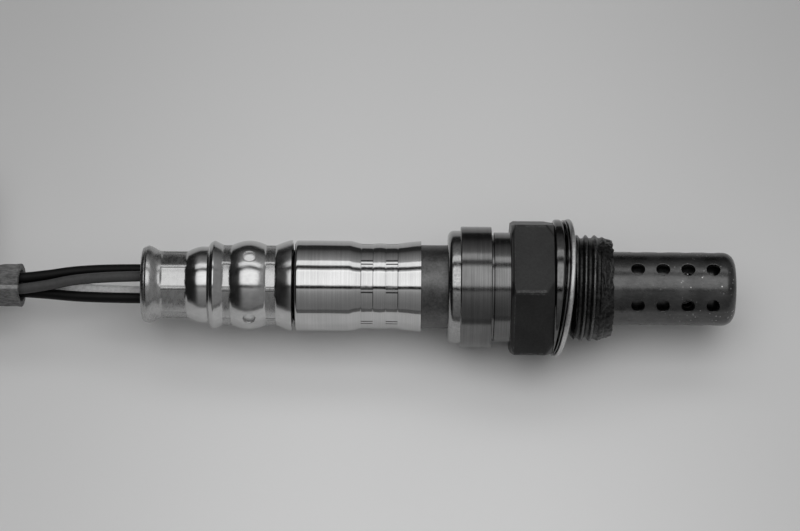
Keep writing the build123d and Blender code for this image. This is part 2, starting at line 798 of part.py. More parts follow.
def route_beside(route, across, upward):
    """Corners of a line that keeps the same place beside a route, each on its corner's mitre."""
    corners = [Vector(*point) for point in route]
    headings = [(after - before).normalized() for before, after in zip(corners, corners[1:])]
    side = headings[0].cross(Vector(0, 0, 1)).normalized()
    offset = side * across + side.cross(headings[0]) * upward
    beside = [corners[0] + offset]
    for corner, heading, next_heading in zip(corners[1:], headings, headings[1:]):
        mitre = (heading + next_heading).normalized()
        on_mitre = offset - heading * (offset.dot(mitre) / heading.dot(mitre))
        beside.append(corner + on_mitre)
        offset = on_mitre - next_heading * on_mitre.dot(next_heading)
    beside.append(corners[-1] + offset)
    return [(point.X, point.Y, point.Z) for point in beside]


def cord_tube(name, points, radius, bore_radius=0.0):
    """Tube along straight runs joined by tangent arcs."""
    radii = corner_radii(points)
    with BuildPart() as tube:
        with BuildLine() as line:
            FilletPolyline(*points, radius=radii)
        path = line.wires()[0]
        with BuildSketch(Plane(origin=path @ 0, z_dir=path % 0)):
            Circle(radius)
            if bore_radius > 0:
                Circle(bore_radius, mode=Mode.SUBTRACT)
        sweep(path=path)
    section = pi * (radius**2 - bore_radius**2)
    print(f"{name}: length {path.length:.1f}, tightest {min(radii):.1f}, "
          f"volume ratio {tube.part.volume / (section * path.length):.4f}")
    print("   radii", " ".join(f"{value:.1f}" for value in radii))
    write(tube.part, name)


cord_tube("protective_sleeve", sleeve_route, sleeve_radius, sleeve_radius - sleeve_wall)

housing_z = floor_z + housing_height / 2
terminal_circle_radius = terminal_pitch / 2**0.5
terminal_places = {}
for index, name in enumerate(lead_angles):
    terminal_y, terminal_z = around(terminal_circle_radius, 135 - 90 * index)
    terminal_places[name] = (housing_y + terminal_y, housing_z + terminal_z)

for name, angle in lead_angles.items():
    grommet_y, grommet_z = around(contact_circle_radius, angle)
    bundle_y, bundle_z = around(bundle_radius, angle + bundle_twist_deg)
    cord_tube(
        name,
        [(wire_start_x, grommet_y, grommet_z), (exit_bend_x, grommet_y, grommet_z)]
        + route_beside(sleeve_route, bundle_y, bundle_z)
        + [(fan_bend_x, *terminal_places[name]), (wire_end_x, *terminal_places[name])],
        wire_radius,
    )

# ---------------------------------------------------------------- connector
housing_front_x = housing_rear_x + housing_length
housing_mid_x = housing_rear_x + housing_length / 2
seal_front_x = housing_rear_x + seal_length + 2 * seal_inset
terminal_front_x = housing_front_x - terminal_setback
terminal_rear_x = terminal_front_x - terminal_length
terminal_barrel_rear_x = seal_front_x + seal_inset
lock_x = terminal_front_x - lock_length / 2 - lock_setback
lock_reach = housing_width / 2 + terminal_circle_radius


def terminal_plane(x, place):
    """Cross-plane on one terminal's line."""
    return Plane(origin=(x, *place), z_dir=(1, 0, 0))


housing_plane = Plane(origin=(housing_rear_x, housing_y, housing_z), x_dir=(0, 1, 0), z_dir=(1, 0, 0))
with BuildPart() as connector_housing:
    with BuildSketch(housing_plane):
        RectangleRounded(housing_width, housing_height, housing_rounding)
    extrude(amount=housing_length)
    chamfer(connector_housing.faces().filter_by(Axis.X).edges(), housing_chamfer)
    for place in terminal_places.values():
        with BuildSketch(terminal_plane(housing_rear_x, place)):
            Circle(seal_radius)
        extrude(amount=seal_front_x - housing_rear_x, mode=Mode.SUBTRACT)
        with BuildSketch(terminal_plane(seal_front_x, place)):
            Rectangle(cavity_width, cavity_width)
        extrude(amount=housing_front_x - seal_front_x, mode=Mode.SUBTRACT)
    with Locations((lock_x, housing_y + housing_width / 2 - lock_reach / 2, housing_z)):
        Box(lock_length + 2 * free_play, lock_reach, lock_thickness + 2 * free_play, mode=Mode.SUBTRACT)
    latch_z = housing_z + housing_height / 2 + latch_gap + latch_thickness / 2
    with Locations((housing_mid_x, housing_y, latch_z)):
        Box(latch_length, latch_width, latch_thickness)
    latch_root_x = housing_mid_x + latch_length / 2 - latch_thickness
    with Locations((latch_root_x, housing_y, latch_z - latch_gap / 2 - latch_thickness / 2)):
        Box(2 * latch_thickness, latch_width, latch_gap + latch_thickness)
    latch_catch_x = housing_mid_x - latch_length / 2 + latch_thickness
    with Locations((latch_catch_x, housing_y, latch_z + latch_thickness / 2 + latch_catch_height / 2)):
        Box(latch_thickness, latch_width, latch_catch_height)
write(connector_housing.part, "connector_housing")

with BuildPart() as secondary_lock:
    lock_y = housing_y + housing_width / 2 - lock_reach / 2 + free_play
    with Locations((lock_x, lock_y, housing_z)):
        Box(lock_length, lock_reach - 2 * free_play, lock_thickness)
write(secondary_lock.part, "secondary_lock")

for index, place in enumerate(terminal_places.values(), start=1):
    with BuildPart() as terminal:
        with BuildSketch(terminal_plane(terminal_rear_x, place)):
            RectangleRounded(terminal_width, terminal_width, terminal_corner)
            Rectangle(terminal_bore_width, terminal_bore_width, mode=Mode.SUBTRACT)
        extrude(amount=terminal_length)
        with BuildSketch(terminal_plane(terminal_barrel_rear_x, place)):
            Circle(terminal_width / 2)
        extrude(amount=terminal_rear_x + barrel_floor - terminal_barrel_rear_x)
        with BuildSketch(terminal_plane(terminal_barrel_rear_x, place)):
            Circle(wire_radius + slip)
        extrude(amount=wire_end_x + barrel_floor - terminal_barrel_rear_x, mode=Mode.SUBTRACT)
    write(terminal.part, f"connector_terminal_{index}")

    with BuildPart() as wire_seal:
        with BuildSketch(terminal_plane(housing_rear_x + seal_inset, place)):
            Circle(seal_radius - slip)
            Circle(wire_radius + slip, mode=Mode.SUBTRACT)
        extrude(amount=seal_length)
    write(wire_seal.part, f"wire_seal_{index}")

# ---------------------------------------------------------------- tie
tie_inner = sleeve_radius + tie_play
tie_plane = Plane(origin=(tie_x - tie_width / 2, tie_mid_y, tie_z), x_dir=(0, 1, 0), z_dir=(1, 0, 0))
with BuildPart() as lead_tie:
    with BuildSketch(tie_plane):
        SlotCenterToCenter(2 * tie_half_span, 2 * (tie_inner + tie_wall))
        SlotCenterToCenter(2 * tie_half_span, 2 * tie_inner, mode=Mode.SUBTRACT)
    extrude(amount=tie_width)
    tie_head_z = tie_z + tie_inner + tie_wall - tie_head_sunk + tie_head_height / 2
    with Locations((tie_x, tie_mid_y, tie_head_z)):
        Box(tie_head_length, tie_head_width, tie_head_height)
    with Locations((tie_x, tie_mid_y, tie_z)):
        Box(2 * tie_head_length, 2 * tie_half_span, 2 * tie_inner, mode=Mode.SUBTRACT)
write(lead_tie.part, "lead_tie")
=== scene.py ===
import math

import bmesh
import bpy
import numpy as np
from mathutils import Matrix, Vector
from mathutils import noise as mathutils_noise


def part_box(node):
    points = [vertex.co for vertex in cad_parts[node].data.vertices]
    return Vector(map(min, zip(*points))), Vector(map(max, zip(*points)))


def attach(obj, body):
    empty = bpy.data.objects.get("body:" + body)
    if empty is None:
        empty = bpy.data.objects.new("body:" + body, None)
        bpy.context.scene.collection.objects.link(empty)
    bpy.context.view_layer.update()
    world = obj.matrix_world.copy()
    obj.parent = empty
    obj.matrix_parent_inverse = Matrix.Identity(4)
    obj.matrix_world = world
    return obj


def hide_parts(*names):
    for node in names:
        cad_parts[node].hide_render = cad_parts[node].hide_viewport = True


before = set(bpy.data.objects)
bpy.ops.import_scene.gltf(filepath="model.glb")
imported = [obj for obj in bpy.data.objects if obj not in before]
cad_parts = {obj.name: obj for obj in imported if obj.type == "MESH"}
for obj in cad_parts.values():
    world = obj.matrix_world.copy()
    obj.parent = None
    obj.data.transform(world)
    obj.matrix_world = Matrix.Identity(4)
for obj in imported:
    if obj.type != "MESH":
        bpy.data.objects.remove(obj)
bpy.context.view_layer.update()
MM = 0.001

# ---- places taken from the frame, in mm


def node_span(node, axis):
    """Lowest and highest place of a CAD node along one axis, in mm."""
    low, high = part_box(node)
    return low[axis] / MM, high[axis] / MM


floor_z = node_span("hex_shell", 2)[0]
shell_rear_x, shell_front_x = node_span("hex_shell", 0)
rear_cover_rear_x, rear_cover_front_x = node_span("rear_cover", 0)
cover_front_x = node_span("mid_cover", 0)[1]
protector_tip_x = node_span("outer_protector", 0)[1]
sleeve_radius = 3.6
wire_radius = 0.9


def add_object(name, data):
    made = bpy.data.objects.new(name, data)
    bpy.context.scene.collection.objects.link(made)
    return made


def grey_colour(value):
    return (value, value, value, 1)


def add_node(tree, kind, **inputs):
    """Shader node with values for its inputs, whose names have _ for a space."""
    made = tree.nodes.new(kind)
    for name, value in inputs.items():
        made.inputs[name.replace("_", " ")].default_value = value
    return made


def tone_ramp(tree, source, stops):
    """Grey by a source's share, 0 to 1, of the way from the first to the last of (place, tone) stops."""
    ramp = tree.nodes.new("ShaderNodeValToRGB")
    elements = ramp.color_ramp.elements
    while len(elements) < len(stops):
        elements.new(0.5)
    first, last = stops[0][0], stops[-1][0]
    for element, (place, tone) in zip(elements, stops):
        element.position = (place - first) / (last - first)
        element.color = grey_colour(tone)
    tree.links.new(source, ramp.inputs["Fac"])
    return ramp.outputs["Color"]


def map_range(tree, source, from_min, from_max, to_min=0.0, to_max=1.0, smooth=False):
    """Source mapped from one range to another and clamped at both ends."""
    places = {"From Min": from_min, "From Max": from_max, "To Min": to_min, "To Max": to_max}
    mapped = add_node(tree, "ShaderNodeMapRange", **places)
    if smooth:
        mapped.interpolation_type = "SMOOTHSTEP"
    tree.links.new(source, mapped.inputs["Value"])
    return mapped.outputs["Result"]


def math_node(tree, operation, *values):
    """Result of an operation on values, each a number or the output of another node."""
    made = tree.nodes.new("ShaderNodeMath")
    made.operation = operation
    for number, value in enumerate(values):
        if isinstance(value, (int, float)):
            made.inputs[number].default_value = value
        else:
            tree.links.new(value, made.inputs[number])
    return made.outputs["Value"]


def place_parts(tree, space):
    """X, Y and Z of the place, or of the world's direction, that is shaded."""
    place = tree.nodes.new("ShaderNodeTexCoord")
    parts = tree.nodes.new("ShaderNodeSeparateXYZ")
    tree.links.new(place.outputs[space], parts.inputs["Vector"])
    return parts.outputs


# ---- camera
camera_elevation = math.radians(63.5)
camera_distance = 500.0
camera_aim_x = -29.46
camera_aim_up = 3.55
camera_lens = 132.4
camera_roll = math.radians(-0.5)


def add_camera():
    look = Vector((0, math.cos(camera_elevation), -math.sin(camera_elevation)))
    up = Vector((0, math.sin(camera_elevation), math.cos(camera_elevation)))
    aim = Vector((camera_aim_x, 0, 0)) + up * camera_aim_up
    data = bpy.data.cameras.new("camera")
    data.lens = camera_lens
    data.sensor_width = 36
    data.clip_start = 0.01
    camera = add_object("camera", data)
    turn = Matrix.Rotation(camera_roll, 4, look)
    right = turn @ look.cross(up)
    up = turn @ up
    place = (aim - look * camera_distance) * MM
    camera.matrix_world = Matrix((
        (right.x, up.x, -look.x, place.x),
        (right.y, up.y, -look.y, place.y),
        (right.z, up.z, -look.z, place.z),
        (0, 0, 0, 1),
    ))
    bpy.context.scene.camera = camera


# ---- light
panel_distance = 0.8


def add_panel(name, tilt_deg, half_angle_deg, half_length_deg, radiance):
    """Soft box seen from the sensor at an angle from straight up, positive away from the camera."""
    tilt = math.radians(tilt_deg)
    data = bpy.data.lights.new(name, "AREA")
    data.shape = "RECTANGLE"
    data.size = 2 * panel_distance * math.tan(math.radians(half_length_deg))
    data.size_y = 2 * panel_distance * math.tan(math.radians(half_angle_deg))
    data.energy = radiance * data.size * data.size_y * math.pi
    light = add_object(name, data)
    direction = Vector((0, math.sin(tilt), math.cos(tilt)))
    light.location = Vector((-0.03, 0, 0)) + direction * panel_distance
    light.rotation_euler = (-tilt, 0, 0)
    return light


# Radiance of the room by angle from straight up, from behind the camera's side (-180) round to (180)
room_tones = [
    (-180, 0.16),
    (-101, 0.2),
    (-75, 0.22),
    (-58, 0.28),
    (-48, 0.33),
    (-40, 0.42),
    (-36, 0.55),
    (-34.3, 0.5),
    (-33.3, 0.0),
    (-27.2, 0.0),
    (-26.2, 0.5),
    (10, 0.45),
    (13, 0.85),
    (16.5, 0.66),
    (19, 0.08),
    (20, 0.035),
    (25.5, 0.035),
    (27, 0.45),
    (40, 0.5),
    (45, 0.4),
    (52, 0.3),
    (62, 0.21),
    (72, 0.13),
    (80, 0.04),
    (100, 0.03),
    (180, 0.16),
]
# The room's two ends, beyond the sensor's tip and beyond its lead: how far along the axis the direction
# points where each begins and where it is whole, and its tone
room_ends = ((0.35, 0.8, 0.26), (-0.25, -0.6, 0.015))


def add_world():
    world = bpy.data.worlds.new("room")
    world.use_nodes = True
    bpy.context.scene.world = world
    tree = world.node_tree
    direction = place_parts(tree, "Generated")
    angle = math_node(tree, "ARCTAN2", direction["Y"], direction["Z"])
    colour = tone_ramp(tree, map_range(tree, angle, -math.pi, math.pi), room_tones)
    for start, end, tone in room_ends:
        mix = add_node(tree, "ShaderNodeMixRGB", Color2=grey_colour(tone))
        tree.links.new(map_range(tree, direction["X"], start, end, smooth=True), mix.inputs["Fac"])
        tree.links.new(colour, mix.inputs["Color1"])
        colour = mix.outputs["Color"]
    tree.links.new(colour, tree.nodes["Background"].inputs["Color"])


# Tone of the paper by its distance behind the sensor, in metres; it grows darker further behind, a painted
# falloff of light. The steel also reflects the table beyond it.
floor_tones_with_painted_light = [
    (-0.2, 0.2),
    (-0.083, 0.2),
    (-0.08, 0.88),
    (-0.04, 0.88),
    (0.01, 0.82),
    (0.06, 0.685),
    (0.1, 0.625),
    (0.108, 0.04),
    (0.2, 0.04),
]
paper_edges = (-0.074, 0.094)
# Painted pool of light on the paper: it is lightest beside this place along the sensor, and falls to the edge
# tone's share of that on either side
painted_light_middle_x = -0.026
painted_light_falloff = (0.01, 0.085)
painted_light_edge_tone = 0.8
floor_size = 4


def add_floor():
    bpy.ops.mesh.primitive_plane_add(size=floor_size, location=(0, 0, floor_z * MM))
    floor = bpy.context.object
    floor.name = "floor"
    material = bpy.data.materials.new("floor")
    material.use_nodes = True
    tree = material.node_tree
    shader = tree.nodes["Principled BSDF"]
    shader.inputs["Roughness"].default_value = 0.9
    shader.inputs["Specular IOR Level"].default_value = 0.2
    place = place_parts(tree, "Object")
    # Painted pool of light: the paper darkens away from the band beside the sensor
    aside = math_node(tree, "ABSOLUTE", math_node(tree, "SUBTRACT", place["X"], painted_light_middle_x))
    beside = map_range(tree, aside, *painted_light_falloff, 1.0, painted_light_edge_tone, smooth=True)

    # The camera sees the paper run on past its edges
    on_paper = add_node(tree, "ShaderNodeClamp", Min=paper_edges[0], Max=paper_edges[1])
    tree.links.new(place["Y"], on_paper.inputs["Value"])
    rays = tree.nodes.new("ShaderNodeLightPath")
    seen = tree.nodes.new("ShaderNodeMix")
    tree.links.new(rays.outputs["Is Camera Ray"], seen.inputs["Factor"])
    tree.links.new(place["Y"], seen.inputs["A"])
    tree.links.new(on_paper.outputs["Result"], seen.inputs["B"])
    # The paper's tones, with their painted falloff of light
    along = map_range(tree, seen.outputs["Result"], floor_tones_with_painted_light[0][0], floor_tones_with_painted_light[-1][0])
    tones = tone_ramp(tree, along, floor_tones_with_painted_light)
    tree.links.new(math_node(tree, "MULTIPLY", tones, beside), shader.inputs["Base Color"])
    floor.data.materials.append(material)


add_camera()
add_panel("panel_over", tilt_deg=-5.5, half_angle_deg=19.5, half_length_deg=33, radiance=1.0)
add_panel("panel_behind", tilt_deg=34.0, half_angle_deg=6.6, half_length_deg=33, radiance=0.9)
fill = add_panel("fill", tilt_deg=0, half_angle_deg=45, half_length_deg=45, radiance=0.21)
fill.visible_glossy = False
add_world()
add_floor()

# ---- lead
# The route's points, in mm, are those of the CAD source
lay_z = floor_z + sleeve_radius
tie_z = lay_z + 0.7
sleeve_route = [
    (-93.8, 0.0, -0.9),
    (-109.5, 0.6, -2.2),
    (-131.5, -0.4, -5.4),
    (-153.5, 0.2, tie_z),
    (-179.5, 0.0, tie_z),
    (-203.7, -20.3, lay_z),
    (-220.2, -21.1, lay_z),
    (-233.8, -11.8, lay_z),
    (-239.1, 3.8, lay_z),
    (-233.8, 19.5, lay_z),
    (-220.2, 28.8, lay_z),
    (-203.7, 27.9, lay_z),
    (-179.5, 7.7, tie_z),
    (-161.5, 7.8, tie_z),
    (-151.8, 10.4, lay_z),
]


def route_beside(route, across, upward):
    """Points that keep the same place beside a route, each on its corner's mitre."""
    corners = [Vector(point) for point in route]
    headings = [(after - before).normalized() for before, after in zip(corners, corners[1:])]
    side = headings[0].cross(Vector((0, 0, 1))).normalized()
    offset = side * across + side.cross(headings[0]) * upward
    beside = [corners[0] + offset]
    for corner, heading, next_heading in zip(corners[1:], headings, headings[1:]):
        mitre = (heading + next_heading).normalized()
        on_mitre = offset - heading * (offset.dot(mitre) / heading.dot(mitre))
        beside.append(corner + on_mitre)
        offset = on_mitre - next_heading * on_mitre.dot(next_heading)
    beside.append(corners[-1] + offset)
    return [tuple(point) for point in beside]


def cord_curve(name, points, radius):
    """Smooth spline with the route's points as its control points. Each point's radius is a scale."""
    data = bpy.data.curves.new(name, "CURVE")
    data.dimensions = "3D"
    data.resolution_u = 16
    data.bevel_depth = radius
    data.bevel_resolution = 8
    data.use_fill_caps = radius > 0
    spline = data.splines.new("NURBS")
    spline.points.add(len(points) - 1)
    for point, (x, y, z) in zip(spline.points, points):
        point.co = (x * MM, y * MM, z * MM, 1)
        point.radius = MM
    spline.order_u = 3
    spline.use_endpoint_u = True
    return add_object(name, data)


def line_points(name, points):
    """Points along a route's spline, in metres."""
    curve = cord_curve(name, points, 0)
    bpy.context.view_layer.update()
    mesh = bpy.data.meshes.new_from_object(curve)
    along = [vertex.co.copy() for vertex in mesh.vertices]
    bpy.data.meshes.remove(mesh)
    bpy.data.objects.remove(curve)
    return along


# ---- materials
class Finish:
    """Procedural material in neutral greys. Scales are features per metre."""

    def __init__(self, name, grey, metallic=1.0, roughness=0.5, specular=0.5):
        self.material = bpy.data.materials.new(name)
        self.material.use_nodes = True
        self.tree = self.material.node_tree
        self.shader = self.tree.nodes["Principled BSDF"]
        self.shader.inputs["Base Color"].default_value = grey_colour(grey)
        self.shader.inputs["Metallic"].default_value = metallic
        self.shader.inputs["Roughness"].default_value = roughness
        self.shader.inputs["Specular IOR Level"].default_value = specular
        self.place = self.node("ShaderNodeTexCoord").outputs["Object"]

    def node(self, kind, **inputs):
        return add_node(self.tree, kind, **inputs)

    def link(self, source, target):
        self.tree.links.new(source, target)

    def noise(self, scale, detail=3.0, roughness=0.5):
        """Noise at one scale, or at a scale for each of the three directions."""
        place = self.place
        if not isinstance(scale, (int, float)):
            mapping = self.node("ShaderNodeMapping", Scale=scale)
            self.link(place, mapping.inputs["Vector"])
            place = mapping.outputs["Vector"]
            scale = 1.0
        noise = self.node("ShaderNodeTexNoise", Scale=scale, Detail=detail, Roughness=roughness)
        self.link(place, noise.inputs["Vector"])
        return noise.outputs["Fac"]

    def flecks(self, scale, low, high):
        """Small round spots: 1 at a spot's middle and 0 between them."""
        cells = self.node("ShaderNodeTexVoronoi", Scale=scale)
        self.link(self.place, cells.inputs["Vector"])
        return self.spread(cells.outputs["Distance"], low, high, 1.0, 0.0)

    def spread(self, source, low, high, from_value, to_value):
        """Map a range of a pattern to a range of values, clamped at both ends."""
        return map_range(self.tree, source, low, high, from_value, to_value, smooth=True)

    def vary(self, noise, from_value, to_value):
        """Map the values that noise mostly has to a range of values."""
        return self.spread(noise, 0.3, 0.7, from_value, to_value)

    def product(self, value, *factors):
        for factor in factors:
            value = math_node(self.tree, "MULTIPLY", value, factor)
        return value

    def colour(self, *factors, specks=None):
        """The tone: the product of its factors, with any specks added."""
        value = self.product(*factors)
        if specks is not None:
            value = math_node(self.tree, "ADD", value, specks)
        self.link(value, self.shader.inputs["Base Color"])

    def roughness(self, value):
        self.link(value, self.shader.inputs["Roughness"])

    def bump(self, height, distance_mm, strength):
        """Relief from a pattern. It comes last, and gives the material."""
        bump = self.node("ShaderNodeBump", Strength=strength, Distance=distance_mm * MM)
        self.link(height, bump.inputs["Height"])
        self.link(bump.outputs["Normal"], self.shader.inputs["Normal"])
        return self.material


def grained(name, scale, tones, gloss, relief_mm, strength=0.6, detail=4.0, fine=0.6, **shader_values):
    """Finish with one grain that varies its tone, its roughness and its relief."""
    finish = Finish(name, tones[0], roughness=gloss[0], **shader_values)
    grain = finish.noise(scale, detail, fine)
    finish.colour(finish.vary(grain, *tones))
    finish.roughness(finish.vary(grain, *gloss))
    return finish.bump(grain, relief_mm, strength)


# Grained steel, for real wear and also for painted light and shade
def worn_and_painted_light_steel(name, grey, roughness):
    tones = (grey * 0.8, grey * 1.15)
    return grained(name, 2400, tones, (roughness * 0.8, roughness * 1.25), 0.006, fine=0.65)


def plain_finish(name, grey, roughness, scale, variation, relief_mm, metallic=0.0, specular=0.5):
    """Moulded, rubber or ceramic finish: a soft variation of tone, gloss and relief."""
    tones = (grey * (1 - variation), grey * (1 + variation))
    gloss = (roughness * 0.85, min(1.0, roughness * 1.15))
    return grained(name, scale, tones, gloss, relief_mm, 0.5, metallic=metallic, specular=specular)


turned_lines = (5200, 60, 60)
fine_turned_lines = (14000, 90, 90)


def polished_steel():
    finish = Finish("polished_steel", 0.52, 1.0, 0.08)
    lines = finish.noise(turned_lines, 4.0, 0.6)
    clouds = finish.noise(260, 2.0)
    finish.colour(finish.vary(lines, 0.48, 0.55), finish.vary(clouds, 0.95, 1.04))
    finish.roughness(finish.spread(lines, 0.25, 0.75, 0.06, 0.12))
    return finish.bump(lines, 0.0015, 0.6)


def drawn_steel():
    finish = Finish("drawn_steel", 0.52, 1.0, 0.15)
    clouds = finish.noise(420, 4.0, 0.6)
    grain = finish.noise((900, 2600, 2600), 3.0, 0.6)
    finish.colour(finish.spread(clouds, 0.25, 0.75, 0.47, 0.57), finish.vary(grain, 0.95, 1.04))
    finish.roughness(finish.vary(clouds, 0.14, 0.22))
    return finish.bump(grain, 0.006, 0.5)


def satin_steel():
    finish = Finish("satin_steel", 0.16, 1.0, 0.18)
    lines = finish.noise(fine_turned_lines, 3.0, 0.7)
    wide = finish.noise((2400, 30, 30), 3.0, 0.6)
    clouds = finish.noise(300, 3.0)
    finish.colour(
        finish.vary(lines, 0.13, 0.19),
        finish.vary(wide, 0.86, 1.08),
        finish.vary(clouds, 0.92, 1.06),
    )
    finish.roughness(finish.spread(lines, 0.25, 0.75, 0.13, 0.22))
    return finish.bump(lines, 0.006, 0.7)


def dark_steel():
    finish = Finish("dark_steel", 0.026, 0.5, 0.4)
    grain = finish.noise(2600, 4.0, 0.65)
    clouds = finish.noise(240, 4.0, 0.6)
    finish.colour(finish.vary(grain, 0.021, 0.028), finish.vary(clouds, 0.85, 1.15))
    finish.roughness(finish.vary(clouds, 0.36, 0.44))
    return finish.bump(grain, 0.008, 0.6)


def worn_edge():
    finish = Finish("worn_edge", 0.06, 0.3, 0.4)
    chips = finish.noise(2100, 5.0, 0.7)
    finish.colour(finish.spread(chips, 0.42, 0.68, 0.025, 0.075))
    return finish.bump(chips, 0.02, 0.6)


def thread_steel():
    finish = Finish("thread_steel", 0.05, 0.9, 0.3)
    grain = finish.noise(1900, 5.0, 0.7)
    stains = finish.noise(330, 3.0, 0.6)
    finish.colour(finish.spread(grain, 0.28, 0.74, 0.014, 0.06), finish.spread(stains, 0.35, 0.7, 0.7, 1.2))
    finish.roughness(finish.vary(grain, 0.24, 0.45))
    return finish.bump(grain, 0.03, 0.8)


def protector_steel():
    finish = Finish("protector_steel", 0.1, 1.0, 0.28)
    clouds = finish.noise(260, 4.0, 0.6)
    grain = finish.noise((1200, 3200, 3200), 3.0, 0.6)
    spots = finish.flecks(1500, 0.05, 0.24)
    spread_of_spots = finish.noise(330, 2.0)
    near_tip = finish.spread(place_parts(finish.tree, "Object")["X"], 0.011, 0.023, 0.1, 1.0)
    patches = finish.spread(spread_of_spots, 0.42, 0.62, 0.0, 1.0)
    specks = finish.product(spots, patches, near_tip, 0.52)
    finish.colour(finish.vary(clouds, 0.075, 0.115), finish.vary(grain, 0.88, 1.1), specks=specks)
    finish.roughness(finish.vary(clouds, 0.24, 0.33))
    return finish.bump(grain, 0.008, 0.5)


def tube_steel():
    finish = Finish("tube_steel", 0.13, 1.0, 0.4)
    grain = finish.noise(2300, 4.0, 0.7)
    clouds = finish.noise(380, 3.0, 0.6)
    spots = finish.flecks(1900, 0.04, 0.2)
    specks = finish.product(spots, finish.spread(clouds, 0.48, 0.66, 0.0, 1.0), 0.12)
    finish.colour(finish.vary(grain, 0.1, 0.16), finish.vary(clouds, 0.85, 1.15), specks=specks)
    finish.roughness(finish.vary(grain, 0.34, 0.5))
    return finish.bump(grain, 0.012, 0.6)


def woven_finish():
    finish = Finish("sleeve_weave", 0.12, 0.0, 0.75, 0.3)
    threads = finish.noise((900, 2600, 2600), 3.0, 0.6)
    stains = finish.noise(160, 3.0)
    finish.colour(finish.vary(threads, 0.085, 0.2), finish.vary(stains, 0.8, 1.2))
    return finish.bump(threads, 0.08, 0.8)


def dress(piece, *materials):
    """Give a piece its materials in place of any it has."""
    piece.data.materials.clear()
    for material in materials:
        piece.data.materials.append(material)


def assign(piece, number, test):
    """Give the faces whose middle passes a test, in mm and radius, another material of the piece."""
    for face in piece.data.polygons:
        x, y, z = (value / MM for value in face.center)
        if test(x, math.hypot(y, z)):
            face.material_index = number


# Painted shade lies on the lines this far from each ridge's middle
crease_aside = 0.05     # angle from a ridge's middle to the line beside it, in radians


def crease(piece, number, low, high):
    """Give the lines where a crimp's jaws met a darker material of their own: painted shade in the crease."""
    half_step = math.pi / around_steps
    for face in piece.data.polygons:
        x = face.center.x / MM
        angle = math.atan2(face.center.z, face.center.y)
        if low < x < high and abs(off_ridge(angle) - crease_aside) < half_step:
            face.material_index = number


# ---- turned and pressed metal
around_steps = 192


def fillet_line(corners, steps=6):
    """Round the corners of a profile: each corner is (x, radius, rounding)."""
    line = []
    last = len(corners) - 1
    for index, (x, radius, rounding) in enumerate(corners):
        corner = np.array((x, radius), float)
        if rounding <= 0 or index in (0, last):
            line.append(tuple(corner))
            continue
        before = np.array(corners[index - 1][:2], float) - corner
        after = np.array(corners[index + 1][:2], float) - corner
        before_length = np.linalg.norm(before)
        after_length = np.linalg.norm(after)
        before /= before_length
        after /= after_length
        half = math.acos(max(-1, min(1, before.dot(after)))) / 2
        if half > math.radians(89):
            line.append(tuple(corner))
            continue
        reach = min(rounding / math.tan(half), before_length * 0.49, after_length * 0.49)
        radius_here = reach * math.tan(half)
        middle = (before + after) / np.linalg.norm(before + after)
        centre = corner + middle * (radius_here / math.sin(half))
        start = corner + before * reach - centre
        end = corner + after * reach - centre
        sweep = math.atan2(start[0] * end[1] - start[1] * end[0], start.dot(end))
        for step in range(steps + 1):
            turn = sweep * step / steps
            line.append((
                centre[0] + start[0] * math.cos(turn) - start[1] * math.sin(turn),
                centre[1] + start[0] * math.sin(turn) + start[1] * math.cos(turn),
            ))
    return line


def divided(line, longest):
    """Profile line with no run longer than this."""
    fine = [line[0]]
    for start, end in zip(line, line[1:]):
        parts = max(1, math.ceil(math.dist(start, end) / longest))
        for part in range(1, parts + 1):
            share = part / parts
            fine.append((start[0] + (end[0] - start[0]) * share, start[1] + (end[1] - start[1]) * share))
    return fine


def inset_line(line, wall):
    """The line moved towards the axis by a wall, which gives the inner face of a sheet."""
    points = np.array(line, float)
    runs = np.gradient(points, axis=0)
    runs /= np.linalg.norm(runs, axis=1)[:, None]
    return [(x + wall * run[1], radius - wall * run[0]) for (x, radius), run in zip(points, runs)]


def new_object(name, points, faces, node, smooth_deg=35):
    """Mesh object from points in mm. It stands for a CAD node and rides on the body."""
    mesh = bpy.data.meshes.new(name)
    mesh.from_pydata([tuple(np.array(point) * MM) for point in points], [], faces)
    mesh.validate()
    work = bmesh.new()
    work.from_mesh(mesh)
    bmesh.ops.remove_doubles(work, verts=work.verts, dist=1e-8)
    bmesh.ops.recalc_face_normals(work, faces=work.faces)
    work.to_mesh(mesh)
    work.free()
    mesh.polygons.foreach_set("use_smooth", [True] * len(mesh.polygons))
    mesh.set_sharp_from_angle(angle=math.radians(smooth_deg))
    piece = add_object(name, mesh)
    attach(piece, "root")
    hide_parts(node)
    return piece


def turned_points(profile, shape, steps):
    """Points of a profile turned about the axis. shape moves (x, radius) by angle and row."""
    points = []
    for row, (x, radius) in enumerate(profile):
        for step in range(steps):
            angle = 2 * math.pi * step / steps
            at_x, at_radius = shape(x, radius, angle, row) if shape else (x, radius)
            points.append((at_x, at_radius * math.cos(angle), at_radius * math.sin(angle)))
    return points


def ring_faces(rows, steps, skipped=()):
    """Faces between closed rings of points, with the last ring joined to the first."""
    faces = []
    for row in range(rows):
        next_row = (row + 1) % rows
        for step in range(steps):
            if (row, step) in skipped:
                continue
            next_step = (step + 1) % steps
            faces.append((
                row * steps + step,
                row * steps + next_step,
                next_row * steps + next_step,
                next_row * steps + step,
            ))
    return faces


def lathe(profile, shape=None, steps=around_steps):
    return turned_points(profile, shape, steps), ring_faces(len(profile), steps)


def noise_at(x, angle, radius, scale, seed=0.0):
    """Smooth noise on a turned surface, about -1 to 1."""
    y, z = radius * math.cos(angle), radius * math.sin(angle)
    return mathutils_noise.noise(Vector((x * scale + seed, y * scale, z * scale + seed)))


def smooth_step(low, high, value):
    share = min(1.0, max(0.0, (value - low) / (high - low)))
    return share * share * (3 - 2 * share)


